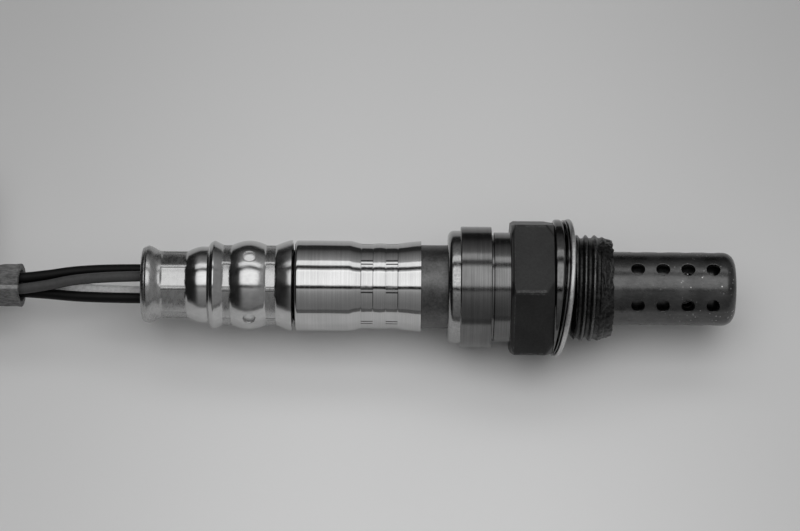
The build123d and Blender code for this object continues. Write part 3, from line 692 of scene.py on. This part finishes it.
class Skin:
    """Turned sheet with an outer and an inner face, and round holes through both."""

    def __init__(self, outer_line, wall, shape, inner_line=None):
        self.wall = wall
        self.shape = shape
        self.rows = len(outer_line)
        inner = inner_line or inset_line(outer_line, wall)
        self.profile = list(outer_line) + list(reversed(inner))
        self.line_x = [x for x, _ in outer_line]
        self.line_radius = [radius for _, radius in outer_line]
        self.points = turned_points(self.profile, shape, around_steps)
        self.open_blocks = set()
        self.extra_faces = []

    def index(self, row, step):
        return row * around_steps + step % around_steps

    def surface(self, x, angle, depth):
        radius = np.interp(x, self.line_x, self.line_radius)
        at_x, at_radius = self.shape(x, radius, angle, 0)
        return (at_x, (at_radius - depth) * math.cos(angle), (at_radius - depth) * math.sin(angle))

    def loop(self, first_row, last_row, first_step, last_step):
        cells = [(first_row, step) for step in range(first_step, last_step)]
        cells += [(row, last_step) for row in range(first_row, last_row)]
        cells += [(last_row, step) for step in range(last_step, first_step, -1)]
        cells += [(row, first_step) for row in range(last_row, first_row, -1)]
        return cells

    def add_hole(self, x, angle, radius, half_block, rim):
        rows = [row for row in range(self.rows) if abs(self.line_x[row] - x) <= half_block]
        first_row, last_row = rows[0], rows[-1]
        surface_radius = float(np.interp(x, self.line_x, self.line_radius))
        step_angle = 2 * math.pi / around_steps
        reach = int(math.ceil(half_block / surface_radius / step_angle))
        middle = int(round(angle / step_angle))
        first_step, last_step = middle - reach, middle + reach
        cells = self.loop(first_row, last_row, first_step, last_step)
        outer_ids = [self.index(row, step) for row, step in cells]
        inner_ids = [self.index(2 * self.rows - 1 - row, step) for row, step in cells]
        places = []
        for row, step in cells:
            places.append((self.line_x[row] - x, (step * step_angle - angle) * surface_radius))
        turns = [math.atan2(across, along) for along, across in places]

        def ring(circle_radius, share, depth):
            """A ring between the block's edge (share 0) and a circle (share 1)."""
            ids = []
            for (along, across), turn in zip(places, turns):
                u = along * (1 - share) + circle_radius * math.cos(turn) * share
                v = across * (1 - share) + circle_radius * math.sin(turn) * share
                ids.append(len(self.points))
                self.points.append(self.surface(x + u, angle + v / surface_radius, depth))
            return ids

        rings = [outer_ids, ring(radius + rim, 0.45, 0), ring(radius + rim, 0.8, 0), ring(radius + rim, 1, 0)]
        rounded = []
        for part in (1, 2, 3):
            turn = math.pi / 2 * part / 3
            rounded.append((radius + rim * (1 - math.sin(turn)), rim * (1 - math.cos(turn))))
        rings += [ring(circle, 1, depth) for circle, depth in rounded]
        rings += [ring(circle, 1, self.wall - depth) for circle, depth in reversed(rounded)]
        rings += [ring(radius + rim, 1, self.wall), ring(radius + rim, 0.6, self.wall), inner_ids]
        count = len(cells)
        for near, far in zip(rings, rings[1:]):
            for place in range(count):
                following = (place + 1) % count
                self.extra_faces.append((near[place], near[following], far[following], far[place]))
        for row in range(first_row, last_row):
            for step in range(first_step, last_step):
                self.open_blocks.add((row, step % around_steps))
                self.open_blocks.add((2 * self.rows - 2 - row, step % around_steps))

    def build(self, name, node):
        faces = ring_faces(len(self.profile), around_steps, self.open_blocks)
        return new_object(name, self.points, faces + self.extra_faces, node)


def off_ridge(angle):
    """Angle from the middle of the nearest ridge between two jaws."""
    return min(abs((angle - ridge + math.pi) % (2 * math.pi) - math.pi) for ridge in uneven_ridges)


def ridge_between(angle, half_width):
    """1 on a crimp's ridges and 0 on the faces that the jaws press."""
    return math.exp(-((off_ridge(angle) / half_width) ** 2))


def band(x, low, high, edge):
    """1 inside a band of the axis, 0 outside, with soft edges."""
    return smooth_step(low - edge, low + edge, x) * (1 - smooth_step(high - edge, high + edge, x))


# ---- rear cover
cover_wall = 0.45
vent_radius = 1.05
vent_x = -54.8
vent_angles = [math.radians(75.5 + 90 * turn) for turn in range(4)]
tail_crimp = (-69.7, -65.5)
neck_crimp = (-59.3, -58.0)
front_crimp = (-52.1, -50.4)
# Each crimp's ends, its depth, how flat its faces are (1 is a true flat) and the softness of its ends
rear_crimps = (
    (tail_crimp, 0.24, 0.55, 0.18),
    (neck_crimp, 0.17, 0.35, 0.12),
    (front_crimp, 0.17, 0.35, 0.12),
)
crimp_ridges = [math.radians(35.0 + 45 * turn) for turn in range(8)]
uneven_ridges = [
    ridge + math.radians(4.5 * math.sin(2.7 * index))
    for index, ridge in enumerate(crimp_ridges)
]


def facet(angle, flatness, radius):
    """How far a jaw's flat face stands out from its middle at an angle."""
    local = (angle - crimp_ridges[0]) % (math.pi / 4) - math.pi / 8
    return flatness * radius * (1 / math.cos(local) - 1)


def rear_cover_shape(x, radius, angle, row):
    for span, depth, flatness, edge in rear_crimps:
        pressed = band(x, *span, edge)
        if pressed > 0:
            ridge = ridge_between(angle, 0.05)
            face = facet(angle, flatness, radius) - depth
            radius += pressed * face * (1 - ridge)
            radius += pressed * 0.014 * noise_at(x, angle, radius, 1.3, 3.0)
    radius += 0.03 * noise_at(x, angle, radius, 0.35, 9.0)
    return x, radius


def waves(turning_points, steps=14):
    """Profile that swings smoothly from each crest or hollow to the next, level at each."""
    line = []
    for (x, radius), (next_x, next_radius) in zip(turning_points, turning_points[1:]):
        for step in range(steps):
            share = step / steps
            ease = (1 - math.cos(math.pi * share)) / 2
            line.append((x + (next_x - x) * share, radius + (next_radius - radius) * ease))
    return line + [turning_points[-1]]


def swell(foot, crest, steps=16):
    """Profile from a crimp's edge to a crest, where it ends level."""
    line = []
    for step in range(steps + 1):
        share = step / steps
        rise = math.sin(math.pi / 2 * share)
        line.append((foot[0] + (crest[0] - foot[0]) * share, foot[1] + (crest[1] - foot[1]) * rise))
    return line


def add_rear_cover():
    rim = waves([(rear_cover_rear_x + 0.55, 6.42), (-72.1, 6.56), (-69.75, 5.68)])
    tail = swell((-65.45, 5.68), (-62.8, 6.5))
    bead = fillet_line([
        (-61.95, 6.47, 0),
        (-61.55, 7.12, 0.3),
        (-60.9, 7.54, 0.3),
        (-60.2, 7.22, 0.5),
        (-59.35, 6.8, 0),
    ])
    vents = swell((-57.95, 6.8), (-55.1, 7.55)) + swell((-52.05, 6.82), (-54.9, 7.55))[::-1]
    flare = swell((-50.5, 6.82), (rear_cover_front_x + 1.5, 7.9))
    lip = [(rear_cover_rear_x, 6.0), (rear_cover_rear_x + 0.12, 6.2)]
    edge = [(x, radius) for x, radius in flare if x < rear_cover_front_x] + [(rear_cover_front_x, 7.74)]
    skin = Skin(divided(lip + rim + tail + bead + vents + edge, 0.2), cover_wall, rear_cover_shape)
    for angle in vent_angles:
        skin.add_hole(vent_x, angle, vent_radius, half_block=1.55, rim=0.12)
    return skin.build("rear_cover_skin", "rear_cover")


# ---- mid cover
mid_crimps = (-35.0, -30.8)
mid_crimp_half = 1.0


def mid_cover_shape(x, radius, angle, row):
    for middle in mid_crimps:
        pressed = band(x, middle - mid_crimp_half, middle + mid_crimp_half, 0.08)
        if pressed > 0:
            ridge = ridge_between(angle, 0.025)
            radius -= 0.035 * pressed * (1 - ridge)
            radius += 0.006 * pressed * noise_at(x, angle, radius, 2.2, 5.0)
    radius += 0.008 * noise_at(x, angle, radius, 0.4, 1.0)
    return x, radius


def add_mid_cover():
    line = divided(fillet_line([
        (-61.2, 5.9, 0),
        (-47.2, 5.9, 0.5),
        (-47.2, 7.675, 0.5),
        (-37.8, 7.675, 3.0),
        (-36.0, 7.24, 1.0),
        (-34.0, 7.22, 0.8),
        (-32.9, 7.33, 1.2),
        (-31.8, 7.24, 0.8),
        (-29.8, 7.28, 1.0),
        (-27.5, 7.6, 3.0),
        (cover_front_x, 7.75, 0),
    ]), 0.2)
    skin = Skin(line, cover_wall, mid_cover_shape)
    for angle in vent_angles:
        skin.add_hole(vent_x, angle, vent_radius, half_block=1.4, rim=0.05)
    return skin.build("mid_cover_skin", "mid_cover")


filter_rear_x = -60.0
filter_front_x = -49.6
filter_bore = 5.93
filter_steps = 96


def add_filter():
    """Porous sleeve under the vents, puffed out towards the holes."""
    outer = divided(fillet_line([
        (filter_rear_x, 6.2, 0),
        (-57.3, 6.25, 1.0),
        (-55.6, 6.88, 1.0),
        (-54.0, 6.88, 1.0),
        (-52.3, 6.25, 1.0),
        (filter_front_x, 6.2, 0),
    ]), 0.3)
    profile = outer + [(filter_front_x, filter_bore), (filter_rear_x, filter_bore)]

    def shape(x, radius, angle, row):
        if radius > 6:
            radius += 0.06 * noise_at(x, angle, radius, 0.9, 7.0)
        return x, radius

    points, faces = lathe(profile, shape, filter_steps)
    return new_object("filter_membrane", points, faces, "filter_sleeve")


# ---- outer protector
protector_radius = 6.2
protector_wall = 0.5
protector_hole_radius = 1.125
hole_rings_x = [10.6 + 4.22 * number for number in range(4)]
hole_angles = [math.radians(24 + 60 * turn) for turn in range(6)]
tip_middle = 0.05


def protector_shape(x, radius, angle, row):
    return x, radius + 0.005 * noise_at(x, angle, radius, 0.5, 2.0)


def add_outer_protector():
    line = divided(fillet_line([
        (1.6, protector_radius, 0),
        (protector_tip_x, protector_radius, 2.1),
        (protector_tip_x, tip_middle, 0),
    ], steps=12), 0.25)
    inner = [(x, max(radius, tip_middle)) for x, radius in inset_line(line, protector_wall)]
    skin = Skin(line, protector_wall, protector_shape, inner_line=inner)
    for x in hole_rings_x:
        for angle in hole_angles:
            skin.add_hole(x, angle, protector_hole_radius, half_block=1.6, rim=0.1)
    return skin.build("outer_protector_skin", "outer_protector")


# ---- shell
thread_pitch = 1.5
thread_radius = 9.0
thread_depth = 0.56
runout_radius = 7.9
hex_half_flats = 11.0
hex_corner_radius = 12.62
seat_x = -3.7
hex_rear_x = -10.8
bore_radius = 6.9
flange_rear_x = -18.8
flange_front_x = -18.3


def thread_shape(x, angle):
    """Radius of the rolled thread with its worn crests and the paste left in the last turns."""
    phase = ((x + 0.15) / thread_pitch + angle / (2 * math.pi)) % 1.0
    tooth = 1 - abs(2 * phase - 1)
    tooth = smooth_step(0.16, 0.94, tooth)
    crest_line = (runout_radius, thread_radius, thread_radius, 8.1)
    crest = float(np.interp(x, (-0.6, 0.2, 3.7, shell_front_x), crest_line))
    radius = min(crest, thread_radius - thread_depth * (1 - tooth))
    radius = max(radius, min(crest, runout_radius + 0.02))
    wear = 0.07 * noise_at(x, angle, radius, 1.3, 4.0) + 0.04 * noise_at(x, angle, radius, 4.0, 8.0)
    paste = smooth_step(1.6, 5.2, x) * (0.45 + 0.55 * noise_at(x, angle, thread_radius, 0.45, 12.0))
    paste = max(0.0, paste)
    fill = paste * (crest - radius) * 0.8
    wide_lumps = 0.2 * noise_at(x, angle, thread_radius, 1.9, 20.0)
    fine_lumps = 0.12 * noise_at(x, angle, thread_radius, 5.5, 30.0)
    return min(radius + fill + paste * (wide_lumps + fine_lumps) + wear * tooth, thread_radius + 0.02)


def hexagon_radius(x, angle):
    """Radius of the hexagon with a cone turned on each face and its corners worn round."""
    local = angle % (math.pi / 3) - math.pi / 6
    rear_edge = 0.22 * (1 - smooth_step(0.0, 0.7, x - hex_rear_x))
    front_edge = 0.12 * smooth_step(-1.6, 0.0, x - seat_x)
    flat = (hex_half_flats - rear_edge - front_edge) / math.cos(local)
    front_cone = 11.65 + (seat_x - x) * 0.78
    rear_cone = 11.58 + (x - hex_rear_x) * 1.75
    edge = hex_corner_radius + 0.03 * noise_at(x, angle, 12, 0.8, 2.0)
    limit = min(front_cone, rear_cone, edge)
    softness = 0.08
    share = min(1.0, max(0.0, 0.5 + (limit - flat) / (2 * softness)))
    return limit * (1 - share) + flat * share - softness * share * (1 - share)


hex_rows = set()
thread_rows = set()


def shell_shape(x, radius, angle, row):
    if row in hex_rows:
        return x, hexagon_radius(x, angle)
    if row in thread_rows:
        ragged = 0.2 + 0.25 * noise_at(0, angle, thread_radius, 1.1, 40.0)
        ragged *= smooth_step(shell_front_x - 1.2, shell_front_x, x)
        return x + ragged, thread_shape(x, angle)
    return x, radius


def add_shell():
    rear = divided(fillet_line([
        (shell_rear_x, 7.12, 0),
        (shell_rear_x, 9.55, 1.5),
        (-19.2, 9.55, 0.12),
        (-19.2, 10.25, 0.15),
        (-14.0, 10.25, 0.15),
        (-14.0, 8.9, 0.08),
        (-13.6, 8.9, 0.08),
        (-13.6, 9.3, 0.1),
        (hex_rear_x, 9.3, 0.1),
        (hex_rear_x, 10.0, 0),
    ]), 0.5)
    hexagon_stops = (hex_rear_x, hex_rear_x + 0.9, seat_x - 2.3, seat_x)
    hexagon = divided([(x, hex_half_flats) for x in hexagon_stops], 0.18)
    neck = divided([(seat_x, 10.0), (seat_x, runout_radius), (-0.6, runout_radius)], 0.5)
    thread = divided([(-0.5, 8.0), (shell_front_x, 8.0)], 0.07)
    bore = [
        (shell_front_x, 6.22),
        (1.2, 6.22),
        (1.2, 4.35),
        (-3.7, 4.35),
        (-3.7, bore_radius),
        (flange_front_x, bore_radius),
        (flange_front_x, 8.64),
        (flange_rear_x, 8.64),
        (flange_rear_x, 7.09),
        (-21.2, 7.09),
    ]
    profile = rear + hexagon + neck + thread + bore
    thread_start = len(rear) + len(hexagon) + len(neck)
    hex_rows.update(range(len(rear), len(rear) + len(hexagon)))
    thread_rows.update(range(thread_start, thread_start + len(thread)))
    points, faces = lathe(profile, shell_shape)
    return new_object("hex_shell_skin", points, faces, "hex_shell", smooth_deg=28)


# ---- gasket
gasket_steps = 144
rim_place_middle = 1.72      # the rim's place before the seat, at the axis
rim_lean = 1.5               # how far the rim leans forward on one side and back on the other
rim_lean_angle = math.radians(79)
gasket_radius = 11.7
painted_light_rim_rows = set()


def add_gasket():
    """Folded ring, crushed unevenly: a round rear fold, a thin layer and a rolled rim that is pale by painted
    light.
    """
    fold_width = 1.95
    rim_middle = 3.05
    profile = divided(fillet_line([
        (0.0, 9.33, 0),
        (0.0, 11.6, 0.6),
        (fold_width - 0.1, 11.6, 0.6),
        (fold_width, 10.1, 0.05),
        (fold_width + 0.15, 10.1, 0.05),
        (2.16, 11.5, 0.1),
        (2.38, 11.55, 0.1),
        (2.42, 10.9, 0.03),
        (2.55, 10.9, 0.03),
        (2.67, 11.62, 0.25),
        (3.35, 11.72, 0.3),
        (3.6, 10.9, 0.3),
        (3.5, 9.33, 0),
    ]), 0.15)

    def shape(x, radius, angle, row):
        lean = rim_lean * math.cos(angle - rim_lean_angle) * radius / gasket_radius
        rim_place = rim_place_middle + lean
        if x <= fold_width:
            along = x * (rim_place - rim_middle + fold_width) / fold_width
        else:
            along = x + rim_place - rim_middle
        along = max(along, 0.02 + 0.12 * x)
        return seat_x + along, radius + 0.03 * noise_at(x * 0.2, angle, radius, 0.35, 6.0)

    painted_light_rim_rows.update(row for row, (x, radius) in enumerate(profile) if x > 2.6 and radius > 11.0)
    points, faces = lathe(profile, shape, gasket_steps)
    return new_object("gasket_skin", points, faces, "gasket")


# ---- inner tube
inner_tube_steps = 128


def add_inner_tube():
    line = divided(fillet_line([
        (-37.2, 6.68, 0),
        (-29.8, 6.7, 0.8),
        (-26.4, 7.05, 0.8),
        (flange_front_x - 0.02, 7.05, 0),
    ]), 0.4)
    flange = [(flange_rear_x, 7.05), (flange_rear_x, 8.6), (flange_front_x, 8.6), (flange_front_x, 6.55)]
    inner = [(x, radius) for x, radius in inset_line(line, 0.5) if x < flange_front_x - 0.1]
    profile = line + flange + inner[::-1]
    points, faces = lathe(profile, steps=inner_tube_steps)
    return new_object("inner_tube_skin", points, faces, "inner_tube")


rear_cover = add_rear_cover()
mid_cover = add_mid_cover()
vent_filter = add_filter()
outer_protector = add_outer_protector()
hex_shell = add_shell()
gasket = add_gasket()
inner_tube = add_inner_tube()


# ---- wires
# Each wire's node and slot, its length behind the grommet in metres, and its first sideways bend in mm
leads = (
    ("wire_black_rear", "wire_black", 0.316, 0.85),
    ("wire_grey", "wire_grey", 0.322, 0.55),
    ("wire_black_front", "wire_black", 0.319, -0.45),
    ("wire_white", "wire_white", 0.313, -0.3),
)
lead_phase_deg = -3.6
contact_circle_radius = 2.55
bundle_radius = 1.38
bundle_twist_deg = 75.6
wire_start_x = -58.1
exit_bend_x = -79.8
fan_bend_x = -139.5
wire_end_x = -127.0
housing_y = 14.5
housing_z = floor_z + 6.5
terminal_circle_radius = 4.2 / 2**0.5


def around(radius, angle_deg):
    angle = math.radians(angle_deg)
    return radius * math.cos(angle), radius * math.sin(angle)


def add_wires():
    wires = []
    for index, (name, slot, length_behind, bend) in enumerate(leads):
        angle = lead_phase_deg + 90 * index
        grommet_y, grommet_z = around(contact_circle_radius, angle)
        bundle_y, bundle_z = around(bundle_radius, angle + bundle_twist_deg)
        terminal_y, terminal_z = around(terminal_circle_radius, 135 - 90 * index)
        points = [
            (wire_start_x, grommet_y, grommet_z),
            (exit_bend_x, grommet_y + bend, grommet_z),
        ]
        points += route_beside(sleeve_route, bundle_y, bundle_z)
        points += [
            (fan_bend_x, housing_y + terminal_y, housing_z + terminal_z),
            (wire_end_x, housing_y + terminal_y, housing_z + terminal_z),
        ]
        wire = cord_curve(name + "_lead", points, wire_radius)
        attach(wire, "root")
        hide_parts(name)
        wires.append(wire)
    return wires


# ---- woven sleeve
def tube_frames(points):
    """Places along a line with two directions across it that do not twist."""
    frames = []
    along = (points[1] - points[0]).normalized()
    side = along.cross(Vector((0, 0, 1))).normalized()
    travelled = 0.0
    for index, point in enumerate(points):
        if index > 0:
            travelled += (point - points[index - 1]).length
        if 0 < index < len(points) - 1:
            along = (points[index + 1] - points[index - 1]).normalized()
        side = (side - along * side.dot(along)).normalized()
        frames.append((point, side, along.cross(side), travelled / MM))
    return frames


def spaced(points, step):
    """Places an even step apart along a line that is already smooth."""
    travelled = [0.0]
    for start, end in zip(points, points[1:]):
        travelled.append(travelled[-1] + (end - start).length)
    count = max(2, round(travelled[-1] / step))
    places = np.linspace(0, travelled[-1], count + 1)
    columns = [np.interp(places, travelled, [point[axis] for point in points]) for axis in range(3)]
    return [Vector(place) for place in zip(*columns)]


braid_turns = 12
braid_rate = 2.2          # turns of the weave's phase along the sleeve, in radians per mm
sleeve_steps = 72
# Steps round the sleeve that carry its painted highlight
painted_highlight_steps = (47, 48)


def sleeve_outside(turn, travelled):
    """Radius of the sleeve's outer face: two crossed sets of strands, with a frayed end."""
    across = math.cos(braid_turns * turn + travelled * braid_rate)
    back = math.cos(braid_turns * turn - travelled * braid_rate)
    fray = 0.12 * math.exp(-travelled / 1.5)
    place = Vector((travelled * 0.25, math.cos(turn), math.sin(turn)))
    return 3.52 + 0.09 * across * back + fray + 0.07 * mathutils_noise.noise(place)


def sleeve_inside(turn, travelled):
    return 2.75 + 0.03 * math.cos(braid_turns * turn + travelled * braid_rate)


def sleeve_ring(tube_frame, radius_at):
    centre, side, upward, travelled = tube_frame
    ring = []
    for step in range(sleeve_steps):
        turn = 2 * math.pi * step / sleeve_steps
        outward = side * math.cos(turn) + upward * math.sin(turn)
        ring.append(tuple((centre + outward * radius_at(turn, travelled) * MM) / MM))
    return ring


def add_sleeve():
    line = spaced(line_points("sleeve_line", sleeve_route), 0.9 * MM)
    frames = tube_frames(line)
    points = []
    for tube_frame in frames:
        points += sleeve_ring(tube_frame, sleeve_outside)
    for tube_frame in reversed(frames):
        points += sleeve_ring(tube_frame, sleeve_inside)
    faces = ring_faces(2 * len(frames), sleeve_steps)
    sleeve = new_object("sleeve_weave", points, faces, "protective_sleeve")
    return sleeve


wires = add_wires()
sleeve = add_sleeve()

# ---- finishes on the pieces
steel_satin = satin_steel()
steel_tube = tube_steel()

pressed_steel = grained("pressed_steel", (2200, 900, 900), (0.39, 0.48), (0.23, 0.33), 0.008, detail=3.0)
# The rear cover's crimp lines get a darker steel: painted shade
dress(rear_cover, drawn_steel(), pressed_steel, worn_and_painted_light_steel("crimp_line", 0.18, 0.35))
for low, high in (tail_crimp, neck_crimp, front_crimp):
    assign(rear_cover, 1, lambda x, radius, low=low, high=high: low < x < high)
    crease(rear_cover, 2, low, high)
assign(rear_cover, 1, lambda x, radius: x < tail_crimp[0])
# The mid cover's crimp lines get a much darker steel: painted shade
dress(mid_cover, polished_steel(), worn_and_painted_light_steel("crimp_crease", 0.06, 0.3))
for middle in mid_crimps:
    crease(mid_cover, 1, middle - mid_crimp_half, middle + mid_crimp_half)
dress(outer_protector, protector_steel())
dress(inner_tube, steel_tube)

dress(
    hex_shell,
    steel_satin,
    dark_steel(),
    thread_steel(),
    worn_edge(),
    worn_and_painted_light_steel("rolled_lip", 0.34, 0.15),
    worn_and_painted_light_steel("thread_crest", 0.11, 0.3),
)
dark_number, thread_number, edge_number, lip_number, crest_number = range(1, 6)
assign(hex_shell, dark_number, lambda x, radius: hex_rear_x - 0.1 < x < seat_x + 0.1)
assign(hex_shell, thread_number, lambda x, radius: x >= seat_x + 0.1)
assign(hex_shell, lip_number, lambda x, radius: x < -19.25)
assign(hex_shell, crest_number, lambda x, radius: seat_x < x < 4.3 and radius > 8.93)
assign(hex_shell, edge_number, lambda x, radius: hex_rear_x < x < seat_x and radius > 12.54)
assign(hex_shell, edge_number, lambda x, radius: hex_rear_x + 0.4 < x < hex_rear_x + 0.62)

gasket_steel = grained("gasket_steel", 1500, (0.11, 0.16), (0.1, 0.18), 0.004)
# The rim's rows get a paler, rougher copy of the gasket's steel: painted light
dress(gasket, gasket_steel, worn_and_painted_light_steel("gasket_rim", 0.56, 0.4))
for face in gasket.data.polygons:
    if face.index // gasket_steps in painted_light_rim_rows:
        face.material_index = 1

wire_tones = {"black": 0.004, "grey": 0.07, "white": 0.85}
for wire in wires:
    tone = wire.name.split("_")[1]
    dress(wire, plain_finish(f"insulation_{tone}", wire_tones[tone], 0.45, 1400, 0.1, 0.004, specular=0.14))
# A paler stripe, two steps wide, along the sleeve: a painted highlight
dress(sleeve, woven_finish(), plain_finish("sleeve_tracer", 0.3, 0.7, 1900, 0.2, 0.03, specular=0.3))
for face in sleeve.data.polygons:
    if face.index % sleeve_steps in painted_highlight_steps:
        face.material_index = 1
dress(vent_filter, plain_finish("vent_membrane", 0.92, 0.5, 2500, 0.04, 0.02))

ceramic = plain_finish("ceramic_white", 0.62, 0.5, 1200, 0.06, 0.006)
contact_metal = plain_finish("contact_metal", 0.55, 0.28, 1500, 0.1, 0.004, metallic=1.0)
# Finish of each CAD solid that stays, by what its name holds. The first that fits is used.
node_finishes = {
    "inner_protector": steel_tube,
    "zirconia_element": ceramic,
    "heater_rod": plain_finish("heater_ceramic", 0.3, 0.45, 1200, 0.1, 0.006),
    "talc_ring": plain_finish("talc_powder", 0.5, 0.85, 2200, 0.12, 0.03),
    "ceramic_bush": ceramic,
    "crimp_packing": steel_satin,
    "front_packing": steel_satin,
    "filter_sleeve": plain_finish("filter_cloth", 0.55, 0.7, 2500, 0.1, 0.02),
    "grommet": plain_finish("grommet_rubber", 0.014, 0.55, 1500, 0.3, 0.012),
    "connector_housing": plain_finish("connector_plastic", 0.022, 0.42, 2600, 0.2, 0.01),
    "secondary_lock": plain_finish("lock_plastic", 0.3, 0.45, 2600, 0.08, 0.01),
    "lead_tie": plain_finish("tie_plastic", 0.016, 0.4, 2600, 0.2, 0.008),
    "contact_holder": ceramic,
    "wire_seal": plain_finish("seal_rubber", 0.2, 0.5, 1500, 0.1, 0.01),
    "connector_terminal": contact_metal,
    "contact": contact_metal,
    "spring": contact_metal,
}
for node_name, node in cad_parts.items():
    for key, material in node_finishes.items():
        if key in node_name:
            dress(node, material)
            break

bpy.context.scene.view_settings.view_transform = "Standard"
